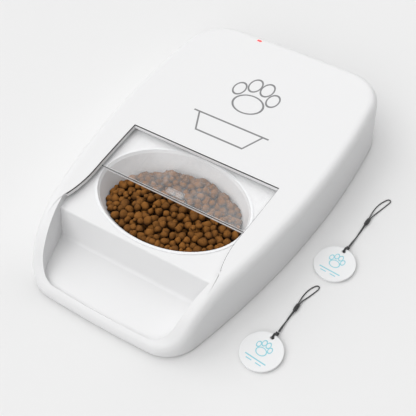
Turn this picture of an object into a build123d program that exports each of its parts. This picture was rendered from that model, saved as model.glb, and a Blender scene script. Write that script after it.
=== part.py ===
from build123d import *
import math
import os

# Microchip pet feeder: a low wedge-shaped housing with a recessed deck, a lift-out oval bowl of dry food,
# a clear lid driven by a rack under the rear hood, a battery bay, a reader coil and two collar tags.
# Frame: +Z up, -Y is the side the pet eats from, origin on the floor under the housing's middle.

# ---------------------------------------------------------------- driving dimensions (mm)
BODY_LENGTH = 320.0          # front lip to rear wall
BODY_WIDTH = 206.0           # at the widest point of the bowed sides
WIDEST_Y = 44.0              # where the sides are widest
SIDE_BOW_R = 687.0           # plan radius of the bowed sides
FRONT_BOW_R = 1200.0         # plan radius of the front edge
REAR_BOW_R = 1800.0          # plan radius of the rear edge
FRONT_CORNER_R = 31.0
REAR_CORNER_R = 39.0
WALL = 2.5                   # moulded wall of the housing
RIM_R = 8.0                  # soft outer edge all round the top
FLOOR_GAP = 1.5              # the housing stands this far off the floor on its feet
HALF_LENGTH = BODY_LENGTH / 2
HALF_WIDTH = BODY_WIDTH / 2

DECK_SLOPE = 1.72            # degrees; deck, lid and hood all rise to the rear
DECK_HEIGHT = 44.0           # top of the deck at y = 0
DECK_THICKNESS = 3.5
DECK_REAR_Y = 15.0
COVER_RISE = 7.4             # top of the cover above the deck
PARTING_DROP = 2.0           # the cover meets the base this far below the deck
HOOD_SAG = 1.2               # how far the hood's top curves down at the rear wall
NOSE = [(39.0, 41.2), (24.0, 30.6), (12.0, 16.8), (4.0, 10.2)]   # distance behind the front, height

CHEEK_WIDTH = 12.0           # raised rim each side of the deck and tray
LIP_DEPTH = 7.0              # foot of the front lip, behind the front edge
TRAY_FRONT_Z = 8.6
TRAY_REAR_Z = 13.4
TRAY_CORNER_R = 22.0
RISER_RUN = 6.5              # the riser leans back this far
TRAY_FRONT_Y = LIP_DEPTH - HALF_LENGTH

LID_GAP = 1.0                # running height of the lid above the deck
LID_THICKNESS = 2.6
LID_HALF_WIDTH = HALF_WIDTH - 27.6
LID_LENGTH = 106.0
LID_FRONT_Y = -50.0          # front edge as it stands, half open
LID_TRAVEL_SHUT = 48.0
LID_TRAVEL_OPEN = 52.0
LID_HEADROOM = 0.4           # clearance between the lid and the ledges over it
CHANNEL_CLEARANCE = 0.6      # each side of the lid
LEDGE_END_Y = -88.5          # front end of the side ledges
LEDGE_TIP_Y = LEDGE_END_Y - 3.1      # where the ledge runs into the cover's front seam
SLOT_EDGE = [(-2.8, 1.0), (-3.1, -26.0), (-3.8, -52.0), (-4.2, -65.0), (-3.4, -76.0), (-2.1, -84.0),
             (0.0, LEDGE_TIP_Y)]     # the slot's side, outwards from the lid's edge and along the feeder
SEAM = [(0.0, LEDGE_TIP_Y), (1.4, -98.0), (2.1, -103.0), (2.4, -109.0), (2.4, -116.0)]   # the same for the seam
SEAM_GAP = 0.7               # open joint between cover and base, narrowing to nothing along that seam
TRIM_HEIGHT = 1.1            # black trim round the top of the lid's slot
TRIM_THICKNESS = 0.3
TRIM_SUNK = 0.2              # below the cover's top
LEDGE_LEAN = 0.8             # below the trim, the ledge's edge leans in this far

BOWL_Y = -47.2
BOWL_HALF_LENGTH = LID_HALF_WIDTH - 7.1     # inside the rim, across the feeder
BOWL_HALF_WIDTH = 48.6
BOWL_DEPTH = 31.0
BOWL_WALL = 1.6
BOWL_RIM_WIDTH = 2.8
BOWL_RIM_PROUD = 0.6
BOWL_LIP = 0.6               # slanted inner edge of the rim
BOWL_LIP_DEPTH = 1.5
BOWL_FLOOR_SHRINK = 13.0     # the floor is this much smaller all round than the mouth
BOWL_FLOOR_R = 5.0           # inside, between floor and wall
BOWL_FIT = 0.4               # play between bowl and deck
DECK_FRONT_Y = BOWL_Y - BOWL_HALF_WIDTH - 6.2
TRAY_REAR_Y = DECK_FRONT_Y - RISER_RUN      # foot of the riser

HEAP_LEVEL = -7.5            # top of the heaped food under its lumps, from the deck plane
HEAP_SHIFT_X = 5.0           # the heap lies to the right and front of the bowl
HEAP_SHIFT_Y = 10.8
HEAP_BARE_SIDE = 8.0         # its top is this much smaller than the bowl's mouth
HEAP_BARE_REAR = 6.6
HEAP_SPREAD = 12.0           # and its foot spreads this much
KIBBLE_R = 4.0
KIBBLE_SPACE = 1.2           # between one lump and the next
KIBBLE_UNEVENNESS = 0.8      # the lumps lie this much higher or lower
HEAP_REACH = 0.97            # no lump's middle is further out than this share of the mouth
FOOD_FIT = 0.2

PLATE_THICKNESS = 2.5        # underside plate
PLATE_FIT = 0.25
FOOT_R = 6.0
FOOT_SEAT = 1.0              # depth of each foot's pocket in the plate
FOOT_PLACES = [(HALF_WIDTH - 33, 40 - HALF_LENGTH), (HALF_WIDTH - 19, 0), (HALF_WIDTH - 29, HALF_LENGTH - 26)]
SCREW_HEAD_R = 2.4
SCREW_HEAD = 1.2
SCREW_SHANK_R = 1.2
SCREW_LENGTH = 5.0
SCREW_RECESS = 0.3           # heads sit this far inside the plate
SCREW_FIT = 0.05
BOSS_R = 3.6
FRONT_BOSSES = [(HALF_WIDTH - 55, 22 - HALF_LENGTH), (HALF_WIDTH - 23, -74)]
COVER_POSTS = [(HALF_WIDTH - 10.5, DECK_REAR_Y + 8), (HALF_WIDTH - 19, HALF_LENGTH - 32)]

GEAR_MODULE = 0.8
RACK_PINION_TEETH = 16
WHEEL_TEETH = 28
MOTOR_PINION_TEETH = 12
GEAR_BACKLASH = 0.1          # extra centre distance
TOOTH_SHARE = 0.44           # tooth thickness as a share of the pitch
GEAR_Y = 40.0
RACK_BAR = 2.0               # solid width of the rack behind its teeth
WHEEL_LEVEL = -3.6           # underside of the wheel, from the deck plane
WHEEL_THICKNESS = 2.4
GEAR_CLEARANCE = 0.2
AXLE_R = 1.5
AXLE_FIT = 0.03
MOTOR_R = 10.0
MOTOR_LENGTH = 22.0
MOTOR_SHAFT_R = 1.0
MOTOR_BOSS_R = 3.0
CARRIAGE_BAR = 6.0           # the cross bar behind the lid

CHASSIS_LEVEL = -7.5         # underside of the chassis plate, from the deck plane
CHASSIS_THICKNESS = 2.0
CHASSIS_HALF_WIDTH = HALF_WIDTH - 17
CHASSIS_FRONT_Y = 18.0
CHASSIS_REAR_Y = LID_FRONT_Y + LID_LENGTH + LID_TRAVEL_OPEN + 4
CHASSIS_LEG_R = 3.5
CHASSIS_LEGS = [(HALF_WIDTH - 33, CHASSIS_FRONT_Y + 7), (HALF_WIDTH - 33, CHASSIS_REAR_Y - 6)]
RAIL_HALF_SPREAD = LID_HALF_WIDTH - 11.4
RAIL_WIDTH = 6.0
RAIL_GAP = 0.1

CELL_R = 13.1                # C size
CELL_LENGTH = 50.0
CELL_PLAY = 0.5
BATTERY_BOX_WALL = 1.6
BATTERY_Y = HALF_LENGTH - 68
CONTACT_SPACE = 3.0
DOOR_TRAVEL = 8.0            # slides this far to the rear, then lifts off
DOOR_FIT = 0.3
DOOR_THICKNESS = 1.2
DOOR_LAP = 2.0               # the door covers its opening by this much all round
TONGUE = 1.2

BOARD_THICKNESS = 1.6
BOARD_X = 18 - HALF_WIDTH
BOARD_WIDTH = 20.0
BOARD_FRONT_Y = DECK_REAR_Y + 21
BOARD_LENGTH = 60.0
STANDOFF = 8.0
STANDOFF_R = 2.5

COIL_LEVEL = -15.9           # underside of the winding, from the deck plane
COIL_HEIGHT = 3.7
COIL_WIDTH = 2.8
COIL_GAP = 3.2               # between the bowl and the coil former
FORMER_WALL = 1.2

BUTTON_R = 5.0
BUTTON_FIT = 0.3
BUTTON_TRAVEL = 1.0
BUTTON_RECESS = 0.3
BUTTON_X = [-20.0, 5.0]
BUTTON_Z = 30.0
LED_X = -35.5
LED_Y = HALF_LENGTH - 9.3
LED_LENGTH = 4.6
LED_WIDTH = 2.2
REAR_BOARD_Y = HALF_LENGTH - 12.5

TAG_R = 17.4                 # collar tags, each propped on its own cord
TAG_THICKNESS = 2.0
TAG_TILT = 5.0               # degrees
TAG_HOLE_R = 1.7
TAG_HOLE_REACH = 14.0        # hole's distance from the tag's middle
CORD_R = 0.5                 # one strand of the tag's cord
TETHER_R = 0.75              # the two strands drawn together
KNOT_R = 2.0

# ---------------------------------------------------------------- shared places
DECK = Location((0, 0, DECK_HEIGHT), (DECK_SLOPE, 0, 0))
SLOPE = math.tan(math.radians(DECK_SLOPE))
LID_TOP = LID_GAP + LID_THICKNESS
LEDGE_UNDERSIDE = LID_TOP + LID_HEADROOM
TRIM_LEVEL = COVER_RISE - TRIM_SUNK - TRIM_HEIGHT
CHANNEL_HALF_WIDTH = LID_HALF_WIDTH + CHANNEL_CLEARANCE
TALL = 0.375 * BODY_LENGTH   # taller than anything on the feeder
PLATE_TOP = FLOOR_GAP + PLATE_THICKNESS


def deck_z(y, above=0.0):
    """Height of a plane parallel to the deck at a given y."""
    return DECK_HEIGHT + above / math.cos(math.radians(DECK_SLOPE)) + SLOPE * y


def outline(inset=0.0, side_inset=None, corner=None):
    """Plan of the housing: two bowed sides, a bowed front and rear, rounded corners."""
    side = inset if side_inset is None else side_inset
    bow = SIDE_BOW_R - side
    shift = HALF_WIDTH - SIDE_BOW_R
    plan = Pos(shift, WIDEST_Y) * Circle(bow)
    plan = plan & (Pos(-shift, WIDEST_Y) * Circle(bow))
    plan = plan & (Pos(0, FRONT_BOW_R - HALF_LENGTH) * Circle(FRONT_BOW_R - inset))
    plan = plan & (Pos(0, HALF_LENGTH - REAR_BOW_R) * Circle(REAR_BOW_R - inset))
    corners = plan.vertices().sort_by(Axis.Y)
    front_r = corner if corner else FRONT_CORNER_R - inset
    plan = fillet(corners[:2], front_r)
    corners = [v for v in plan.vertices().sort_by(Axis.Y)[-2:]]
    return fillet(corners, REAR_CORNER_R - inset)


def side_profile(drop=0.0):
    """Side view of the housing: straight deck slope, curved hood, and a nose that rolls down to the lip."""
    ledge = (LEDGE_END_Y - 3.5, deck_z(LEDGE_END_Y - 3.5, COVER_RISE) - drop)
    crest = (0.0, deck_z(0, COVER_RISE) - drop)
    rear_y = HALF_LENGTH + 5
    rear = (rear_y, deck_z(rear_y, COVER_RISE) - HOOD_SAG - drop)
    nose = [(y - HALF_LENGTH, z - drop) for y, z in NOSE]
    lip = (-HALF_LENGTH - 3, 8.7 - drop)
    with BuildSketch(Plane.YZ) as sketch:
        with BuildLine():
            Spline([ledge] + nose + [lip], tangents=[(-1, -SLOPE), (-1, -0.12)])
            Line(ledge, crest)
            TangentArc(crest, rear, tangent=(1, SLOPE))
            Polyline(rear, (rear_y, -10), (-HALF_LENGTH - 3, -10), lip)
        make_face()
    return sketch.sketch


def hull(inset=0.0):
    """Solid of the housing's outer shape, or of its inside surface one wall in."""
    block = extrude(outline(inset), TALL) & extrude(side_profile(inset), TALL, both=True)
    top_edges = block.edges().filter_by(lambda e: e.center().Z > 2.0)
    rims = [e for e in top_edges if is_top_rim(block, e)]
    return fillet(rims, RIM_R - inset)


def is_top_rim(block, edge):
    """True for edges where the top meets the upright side, not for the uprights' own seams."""
    box = edge.bounding_box()
    upright = box.size.X < 0.01 and box.size.Y < 0.01
    crosswise = abs(edge.tangent_at(0.5).X) > 0.999 and box.size.Y < 0.01 and box.size.X > HALF_WIDTH
    return not upright and not (crosswise and abs(box.center().Y) < HALF_LENGTH - 8)


def deck_box(x0, x1, y0, y1, z0, z1):
    """Box between two corners given in the deck's own tilted frame."""
    return DECK * (Pos((x0 + x1) / 2, (y0 + y1) / 2, (z0 + z1) / 2) * Box(x1 - x0, y1 - y0, z1 - z0))


def level_box(x0, x1, y0, y1, z0, z1):
    """Box between two corners, level with the floor."""
    return Pos((x0 + x1) / 2, (y0 + y1) / 2, (z0 + z1) / 2) * Box(x1 - x0, y1 - y0, z1 - z0)


def column(x, y, z0, z1, radius):
    """Upright round column between two heights."""
    return Pos(x, y, (z0 + z1) / 2) * Cylinder(radius, z1 - z0)


def both_sides(places):
    """Each place and its mirror image across the feeder's centre line."""
    return [(sign * x, y) for x, y in places for sign in (-1, 1)]


def cover_region(gap=0.0):
    """Everything above the parting plane and behind the cover's front seams, less a gap along them."""
    far = TALL * 3
    last = len(SEAM) - 1
    right = [(LID_HALF_WIDTH + x + gap * (1 - index / last), y) for index, (x, y) in enumerate(SEAM)]
    tip_y = right[-1][1]
    half = [(far, far), (far, tip_y)] + right[::-1]
    plan = make_face(Polyline(*half, *[(-x, y) for x, y in reversed(half)], close=True))
    return extrude(plan, TALL) & deck_box(-far, far, -far, far, -PARTING_DROP, TALL)


def recess_plan(grow=0.0):
    """Plan of the sunken deck front and tray between the cheeks."""
    lip = HALF_LENGTH + TRAY_FRONT_Y - 1.5
    return outline(lip - grow, CHEEK_WIDTH - grow, TRAY_CORNER_R + grow)


def recess_profile(grow=0.0):
    """Side view of the open space over the deck front, riser, tray and lip."""
    top = TALL - 10
    rear = LEDGE_END_Y + 12
    points = [
        (rear, top), (rear, deck_z(rear)), (DECK_FRONT_Y, deck_z(DECK_FRONT_Y)),
        (TRAY_REAR_Y, TRAY_REAR_Z), (TRAY_FRONT_Y, TRAY_FRONT_Z),
        (TRAY_FRONT_Y - 4.5, TRAY_FRONT_Z + 6), (TRAY_FRONT_Y - 12, top),
    ]
    face = Plane.YZ * make_face(Polyline(*points, close=True))
    return offset(face, grow, kind=Kind.INTERSECTION) if grow else face


def front_recess(grow=0.0):
    """The open space in front of the cover, or that space one wall larger."""
    space = extrude(recess_plan(grow), TALL) & extrude(recess_profile(grow), TALL, both=True)
    if grow:
        return space
    crosswise = [e for e in space.edges() if abs(e.tangent_at(0.5).X) > 0.99 and e.length > HALF_WIDTH / 2]
    foot = [e for e in crosswise if abs(e.center().Y - TRAY_REAR_Y) < 0.5]
    space = fillet(foot, 4.0)
    brow = [e for e in space.edges() if abs(e.center().Y - DECK_FRONT_Y) < 0.5 and e.length > HALF_WIDTH / 2
            and abs(e.tangent_at(0.5).X) > 0.99]
    return fillet(brow, 1.6)


def bowl_ellipse(grow, level):
    """Ellipse parallel to the bowl's mouth, at a level from the deck plane."""
    return DECK * (Pos(0, BOWL_Y, level) * Ellipse(BOWL_HALF_LENGTH + grow, BOWL_HALF_WIDTH + grow))


def bowl_ring(inner, outer, low, high):
    """Upright elliptical ring round the bowl."""
    face = DECK * (Pos(0, BOWL_Y, low) * (
        Ellipse(BOWL_HALF_LENGTH + outer, BOWL_HALF_WIDTH + outer)
        - Ellipse(BOWL_HALF_LENGTH + inner, BOWL_HALF_WIDTH + inner)))
    return extrude(face, high - low, dir=deck_up())


# ---------------------------------------------------------------- housing
RACK_CHANNEL = LID_HALF_WIDTH + RACK_BAR + 2 * GEAR_MODULE + CHANNEL_CLEARANCE
RACK_FRONT_Y = GEAR_Y - 6 - LID_TRAVEL_OPEN
RACK_REAR_Y = GEAR_Y + 6 + LID_TRAVEL_SHUT
RACK_CHANNEL_FRONT_Y = RACK_FRONT_Y - LID_TRAVEL_SHUT - 2
RIDGE = 3.0
SCREW_TOP = FLOOR_GAP + SCREW_RECESS + SCREW_HEAD + SCREW_LENGTH


def base_shell(outer, inner):
    """Lower moulding: outer wall, deck, riser, tray, cheeks and the side walls of the lid's channel."""
    far = TALL * 2
    cavity = inner - front_recess(WALL) - deck_box(-far, far, LEDGE_END_Y, DECK_REAR_Y, -DECK_THICKNESS, far)
    deck_plan = extrude(outline(WALL + PLATE_FIT), TALL)
    slab = deck_plan & deck_box(-far, far, LEDGE_TIP_Y - 9, DECK_REAR_Y, -DECK_THICKNESS - 1, 0)
    for ridge in channel_walls():
        slab = slab + ridge
    shell = outer - cavity
    shell = shell - (cover_region() - slab)
    shell = shell - level_box(-far, far, -far, far, -10, FLOOR_GAP)
    for x, y in both_sides(FRONT_BOSSES):
        shell = shell + (column(x, y, PLATE_TOP, TALL / 2, BOSS_R) & inner & below_deck())
    shell = shell - front_recess()
    shell = shell - extrude(bowl_ellipse(BOWL_WALL + BOWL_FIT, -DECK_THICKNESS * 2), DECK_THICKNESS * 4,
                            dir=deck_up())
    for x, y in both_sides(FRONT_BOSSES):
        shell = shell - column(x, y, PLATE_TOP - 1, SCREW_TOP + 0.3, SCREW_SHANK_R + SCREW_FIT)
    for x in BUTTON_X:
        shell = shell - Pos(x, HALF_LENGTH, BUTTON_Z) * Rot(90, 0, 0) * Cylinder(BUTTON_R + BUTTON_FIT, 12)
    return shell


def channel_walls():
    """Low walls that guide the lid's edges and carry the cover's ledges."""
    top = LEDGE_UNDERSIDE
    return [
        deck_box(-CHANNEL_HALF_WIDTH - RIDGE, -CHANNEL_HALF_WIDTH, LEDGE_END_Y, DECK_REAR_Y, -1, top),
        deck_box(RACK_CHANNEL, RACK_CHANNEL + RIDGE, RACK_CHANNEL_FRONT_Y, DECK_REAR_Y, -1, top),
        deck_box(CHANNEL_HALF_WIDTH, CHANNEL_HALF_WIDTH + RIDGE, LEDGE_END_Y, RACK_CHANNEL_FRONT_Y, -1, top),
    ]


def deck_up():
    """Direction square to the deck."""
    angle = math.radians(DECK_SLOPE)
    return (0, -math.sin(angle), math.cos(angle))


def below_deck():
    far = TALL * 2
    return deck_box(-far, far, -far, far, -far, -DECK_THICKNESS / 2)


# ---------------------------------------------------------------- pieces
def slot_window(grow=0.0):
    """Plan of the lid's slot through the cover, open at the front."""
    edge = [(LID_HALF_WIDTH + x + grow, y) for x, y in SLOT_EDGE]
    edge[0] = (edge[0][0], edge[0][1] + grow)
    mirrored = [(-x, y) for x, y in edge]
    tip = edge[-1]
    front = [tip, (tip[0], -TALL), (-tip[0], -TALL), mirrored[-1]]
    return make_face(Spline(*edge) + Polyline(*front) + Spline(*mirrored[::-1]) + Line(mirrored[0], edge[0]))


def slot_trim():
    """Black strip lining the top of the slot's edge, along both ledges and the hood."""
    strip = slot_window(TRIM_THICKNESS) - slot_window()
    length = HALF_WIDTH - LEDGE_TIP_Y
    strip = strip & Pos(0, LEDGE_TIP_Y + length / 2) * Rectangle(2 * HALF_WIDTH, length)
    return DECK * (Pos(0, 0, TRIM_LEVEL) * extrude(strip, TRIM_HEIGHT))


def top_cover(outer, inner):
    """Hood with the two side ledges that hold the lid down, four screw posts and the lamp's slot."""
    region = cover_region(SEAM_GAP)
    far = TALL * 2
    cover = (outer - inner) & region
    block_side = RACK_CHANNEL + RIDGE
    hood_edge_y = SLOT_EDGE[0][1]
    ledges = deck_box(-block_side, block_side, LEDGE_TIP_Y, hood_edge_y + RIDGE, LEDGE_UNDERSIDE,
                      COVER_RISE + 3)
    cover = cover + (ledges & outer & region)
    cheeks = front_recess(WALL) - front_recess()
    cheeks = cheeks & deck_box(-far, far, LEDGE_TIP_Y - 12, LEDGE_END_Y, 0, far)
    cover = cover + (cheeks & outer & region)
    low = LEDGE_UNDERSIDE - 1
    lean = LEDGE_LEAN * (TRIM_LEVEL - low) / (TRIM_LEVEL - LEDGE_UNDERSIDE)
    slot = loft([Pos(0, 0, low) * slot_window(-lean), Pos(0, 0, TRIM_LEVEL) * slot_window()])
    slot = slot + Pos(0, 0, TRIM_LEVEL) * extrude(slot_window(TRIM_THICKNESS), TALL)
    cover = cover - DECK * slot
    for x, y in both_sides(COVER_POSTS):
        post = column(x, y, PLATE_TOP, TALL / 2, BOSS_R) & outer
        cover = cover + post
        cover = cover - column(x, y, PLATE_TOP - 1, SCREW_TOP + 1, SCREW_SHANK_R + SCREW_FIT)
    cover = cover - lamp_pin(LED_FIT)
    return cover


LED_FIT = 0.05
LENS_PROUD = 0.3
LIGHT_PIPE = 11.7            # length of the light pipe below the hood's top
LAMP_TOP = deck_z(LED_Y, COVER_RISE) - HOOD_SAG * (LED_Y / (HALF_LENGTH + 5)) ** 2


def lamp_pin(grow=0.0):
    """Upright rounded slot through the hood for the status lamp's light pipe."""
    face = SlotOverall(LED_LENGTH + 2 * grow, LED_WIDTH + 2 * grow)
    return Pos(LED_X, LED_Y, LAMP_TOP - 14) * extrude(face, 30)


def base_plate():
    """Underside plate with its screw recesses, foot pockets, battery opening and board standoffs."""
    plate = Pos(0, 0, FLOOR_GAP) * extrude(outline(WALL + PLATE_FIT), PLATE_THICKNESS)
    for x, y in both_sides(FRONT_BOSSES + COVER_POSTS):
        plate = plate - column(x, y, FLOOR_GAP - 1, PLATE_TOP + 1, SCREW_SHANK_R + SCREW_FIT)
        plate = plate - column(x, y, FLOOR_GAP - 1, FLOOR_GAP + SCREW_RECESS + SCREW_HEAD, SCREW_HEAD_R + SCREW_FIT)
    for x, y in both_sides(FOOT_PLACES):
        plate = plate - column(x, y, FLOOR_GAP - 1, FLOOR_GAP + FOOT_SEAT, FOOT_R + SCREW_FIT)
    x0, x1, y0, y1 = door_place()
    lap = DOOR_LAP
    plate = plate - level_box(x0 + lap, x1 - lap, y0 + lap, y1 - lap, 0, PLATE_TOP + 1)
    plate = plate - level_box(x0 - DOOR_FIT, x1 + DOOR_FIT, y0 - DOOR_FIT, y1 + DOOR_TRAVEL + DOOR_FIT, 0,
                              FLOOR_GAP + DOOR_THICKNESS)
    groove = TONGUE + DOOR_FIT
    plate = plate - level_box(x0 - groove, x1 + groove, y0 - DOOR_FIT, y1 + DOOR_TRAVEL + DOOR_FIT, TONGUE_LOW,
                              TONGUE_HIGH)
    for y in standoff_places():
        plate = plate + column(BOARD_X, y, PLATE_TOP - 1, PLATE_TOP + STANDOFF, STANDOFF_R)
    return plate


CELL_PITCH = 2 * CELL_R + 1.4
BATTERY_DEPTH = CELL_PITCH + 2 * CELL_R + 2 * CELL_PLAY
DOOR_GAP = 0.05              # between the door and the plate it slides on
TONGUE_LOW = FLOOR_GAP + 0.5
TONGUE_HIGH = FLOOR_GAP + DOOR_THICKNESS


def door_place():
    """Plan of the shut battery door: low and high x, then low and high y."""
    half = CELL_LENGTH + CELL_PLAY
    middle = BATTERY_Y - DOOR_TRAVEL / 2
    length = BATTERY_DEPTH - 2 * DOOR_TRAVEL
    return -half, half, middle - length / 2, middle + length / 2


def standoff_places():
    return [BOARD_FRONT_Y + 5, BOARD_FRONT_Y + BOARD_LENGTH - 5]


def battery_door():
    """Sliding cover of the battery bay with side tongues and finger grooves."""
    x0, x1, y0, y1 = door_place()
    top = FLOOR_GAP + DOOR_THICKNESS - DOOR_GAP
    door = level_box(x0, x1, y0, y1, FLOOR_GAP, top)
    for start in (y0 + 4, y1 - 14):
        door = door + level_box(x0 - TONGUE, x1 + TONGUE, start, start + 10, TONGUE_LOW + DOOR_GAP, top)
    for row in range(5):
        groove_y = y0 + 8 + row * 2.4
        door = door - level_box(-12, 12, groove_y, groove_y + 1.2, 0, FLOOR_GAP + 0.4)
    return door


def battery_box():
    """Open-bottomed bay that holds two rows of two cells."""
    inner_half = CELL_LENGTH + CONTACT_SPACE
    half = inner_half + BATTERY_BOX_WALL
    y0 = BATTERY_Y - BATTERY_DEPTH / 2
    y1 = BATTERY_Y + BATTERY_DEPTH / 2
    inner_top = PLATE_TOP + 0.7 + 2 * CELL_R + CELL_PLAY
    wall = BATTERY_BOX_WALL
    box = level_box(-half, half, y0 - wall, y1 + wall, PLATE_TOP, inner_top + wall)
    return box - level_box(-inner_half, inner_half, y0, y1, PLATE_TOP - 1, inner_top)


def cell_places():
    """Middles of the four cells, lying across the feeder."""
    z = PLATE_TOP + 0.7 + CELL_R
    x = CELL_LENGTH / 2
    return [(sx * x, BATTERY_Y + sy * CELL_PITCH / 2, z) for sy in (-1, 1) for sx in (-1, 1)]


def battery_cells():
    """Four C cells, each with its raised positive cap."""
    cells = []
    cap = 1.2
    for x, y, z in cell_places():
        body = Pos(x - cap / 2, y, z) * Rot(0, 90, 0) * Cylinder(CELL_R, CELL_LENGTH - cap - 0.2)
        body = fillet(body.edges(), 1.2)
        tip = Pos(x + CELL_LENGTH / 2 - cap / 2 - 0.15, y, z) * Rot(0, 90, 0) * Cylinder(3.0, cap + 0.1)
        cells.append(body + tip)
    return Compound(children=cells)


def battery_contacts():
    """Sprung negative contacts and flat positive plates at the ends of both rows."""
    pieces = []
    end = CELL_LENGTH + CONTACT_SPACE
    z = PLATE_TOP + 0.7 + CELL_R
    for row in (-1, 1):
        y = BATTERY_Y + row * CELL_PITCH / 2
        pieces.append(Pos(end - 0.25, y, z) * Box(0.5, 16, 16) + Pos(end - 1.6, y, z) * Box(2.4, 6, 6))
        spring = Pos(-end + 0.25, y, z) * Box(0.5, 16, 16)
        cone = Pos(-end + 1.55, y, z) * Rot(0, 90, 0) * Cone(6.0, 3.5, 2.3)
        pieces.append(spring + cone)
    return Compound(children=pieces)


def rubber_feet():
    feet = []
    for x, y in both_sides(FOOT_PLACES):
        foot = column(x, y, 0, FLOOR_GAP + FOOT_SEAT, FOOT_R)
        rim = [e for e in foot.edges() if e.center().Z < 0.1]
        feet.append(fillet(rim, 0.5))
    return Compound(children=feet)


def housing_screws():
    screws = []
    head_low = FLOOR_GAP + SCREW_RECESS
    for x, y in both_sides(FRONT_BOSSES + COVER_POSTS):
        screw = column(x, y, head_low, head_low + SCREW_HEAD, SCREW_HEAD_R)
        screw = screw + column(x, y, head_low + SCREW_HEAD, SCREW_TOP, SCREW_SHANK_R)
        for turn in (0, 90):
            screw = screw - Pos(x, y, head_low) * Rot(0, 0, turn) * Box(2.6, 0.6, 1.2)
        screws.append(screw)
    return Compound(children=screws)


BOWL_FLOOR_GROW = BOWL_WALL * 0.4 - BOWL_FLOOR_SHRINK      # the inside floor against the mouth


def bowl():
    """Lift-out oval bowl with a thin raised rim that rests on the deck."""
    shrink = BOWL_FLOOR_SHRINK
    outside = loft([bowl_ellipse(BOWL_WALL, 0), bowl_ellipse(BOWL_WALL - shrink, -BOWL_DEPTH)])
    floor_edge = outside.edges().sort_by(Axis.Z)[0]
    outside = fillet(floor_edge, BOWL_FLOOR_R + 1)
    inside = loft([bowl_ellipse(0, BOWL_RIM_PROUD + 0.01),
                   bowl_ellipse(BOWL_FLOOR_GROW, BOWL_WALL - BOWL_DEPTH)])
    floor_edge = inside.edges().sort_by(Axis.Z)[0]
    inside = fillet(floor_edge, BOWL_FLOOR_R)
    rim = bowl_ring(-0.5, BOWL_RIM_WIDTH, 0, BOWL_RIM_PROUD)
    rim = fillet([e for e in rim.edges() if is_rim_top(e)], 0.25)
    lip = loft([bowl_ellipse(BOWL_LIP, BOWL_RIM_PROUD + 0.01), bowl_ellipse(-0.7, -BOWL_LIP_DEPTH)])
    return outside + rim - inside - lip


def dry_food():
    """Heap of kibble in the bowl: a flat mound with a layer of rounded lumps on it."""
    floor_grow = BOWL_FLOOR_GROW - FOOD_FIT
    space = loft([bowl_ellipse(-FOOD_FIT, BOWL_RIM_PROUD), bowl_ellipse(floor_grow, BOWL_WALL - BOWL_DEPTH)])
    space = fillet(space.edges().sort_by(Axis.Z)[0], BOWL_FLOOR_R + 1)
    half_x = BOWL_HALF_LENGTH - HEAP_BARE_SIDE
    half_y = BOWL_HALF_WIDTH - HEAP_BARE_REAR
    middle = Pos(HEAP_SHIFT_X, BOWL_Y - HEAP_SHIFT_Y, HEAP_LEVEL)
    foot = middle * Pos(0, 0, -HEAP_LEVEL - BOWL_DEPTH) * Ellipse(half_x + HEAP_SPREAD, half_y + HEAP_SPREAD)
    heap = loft([middle * Ellipse(half_x, half_y), foot])
    pitch = 2 * KIBBLE_R + KIBBLE_SPACE
    row_pitch = pitch * math.sin(math.pi / 3)
    rows = int(half_y / row_pitch) + 1
    places = int(half_x / pitch) + 1
    for row in range(-rows, rows + 1):
        for place in range(-places, places + 1):
            x = (place + (row % 2) / 2) * pitch
            y = row * row_pitch
            across = (x + HEAP_SHIFT_X) / BOWL_HALF_LENGTH
            along = (y - HEAP_SHIFT_Y) / BOWL_HALF_WIDTH
            if (x / half_x) ** 2 + (y / half_y) ** 2 < 1 and math.hypot(across, along) < HEAP_REACH:
                lift = KIBBLE_UNEVENNESS * math.sin(3 * x + 5 * y)
                heap = heap + middle * Pos(x, y, lift) * Sphere(KIBBLE_R)
    return DECK * heap & space


def is_rim_top(edge):
    """True for the outer, upper edge of the bowl's rim."""
    local = (DECK.inverse() * Pos(edge.position_at(0.1))).position
    outer_edge = edge.length > 2 * math.pi * math.sqrt((BOWL_HALF_LENGTH ** 2 + BOWL_HALF_WIDTH ** 2) / 2)
    return local.Z > BOWL_RIM_PROUD / 2 and outer_edge


def lid():
    """Clear sliding lid with moulded grip grooves near its front edge."""
    rear = LID_FRONT_Y + LID_LENGTH
    plate = deck_box(-LID_HALF_WIDTH, LID_HALF_WIDTH, LID_FRONT_Y, rear, LID_GAP, LID_TOP)
    front = [e for e in plate.edges().filter_by(Axis.X) if e.center().Y < LID_FRONT_Y + 1]
    plate = chamfer(front, 0.4)
    for row in range(3):
        y = LID_FRONT_Y + 4 + row * 2.2
        plate = plate - deck_box(-8, 8, y, y + 1.0, LID_TOP - 0.4, LID_TOP + 1)
    return plate


def gear_face(teeth, first=0.0):
    """Plan of a spur gear with involute flanks; first is the angle of one tooth, in degrees."""
    pitch_r = GEAR_MODULE * teeth / 2
    base_r = pitch_r * math.cos(math.radians(20))
    root_r = pitch_r - 1.15 * GEAR_MODULE
    tip_r = pitch_r + 0.9 * GEAR_MODULE
    half_pitch = TOOTH_SHARE * math.pi / teeth
    roll = math.tan(math.radians(20)) - math.radians(20)
    points = []
    for index in range(teeth):
        middle = math.radians(first) + 2 * math.pi * index / teeth
        flank = []
        for step in range(5):
            r = max(base_r, root_r) + (tip_r - max(base_r, root_r)) * step / 4
            turn = math.sqrt(max((r / base_r) ** 2 - 1, 0))
            swing = half_pitch + roll - (turn - math.atan(turn))
            flank.append((r, swing))
        foot = flank[0][1]
        left = [(root_r, foot)] + flank
        for r, swing in left:
            points.append((r * math.cos(middle - swing), r * math.sin(middle - swing)))
        for r, swing in reversed(left):
            points.append((r * math.cos(middle + swing), r * math.sin(middle + swing)))
    return make_face(Polyline(*points, close=True))


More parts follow.
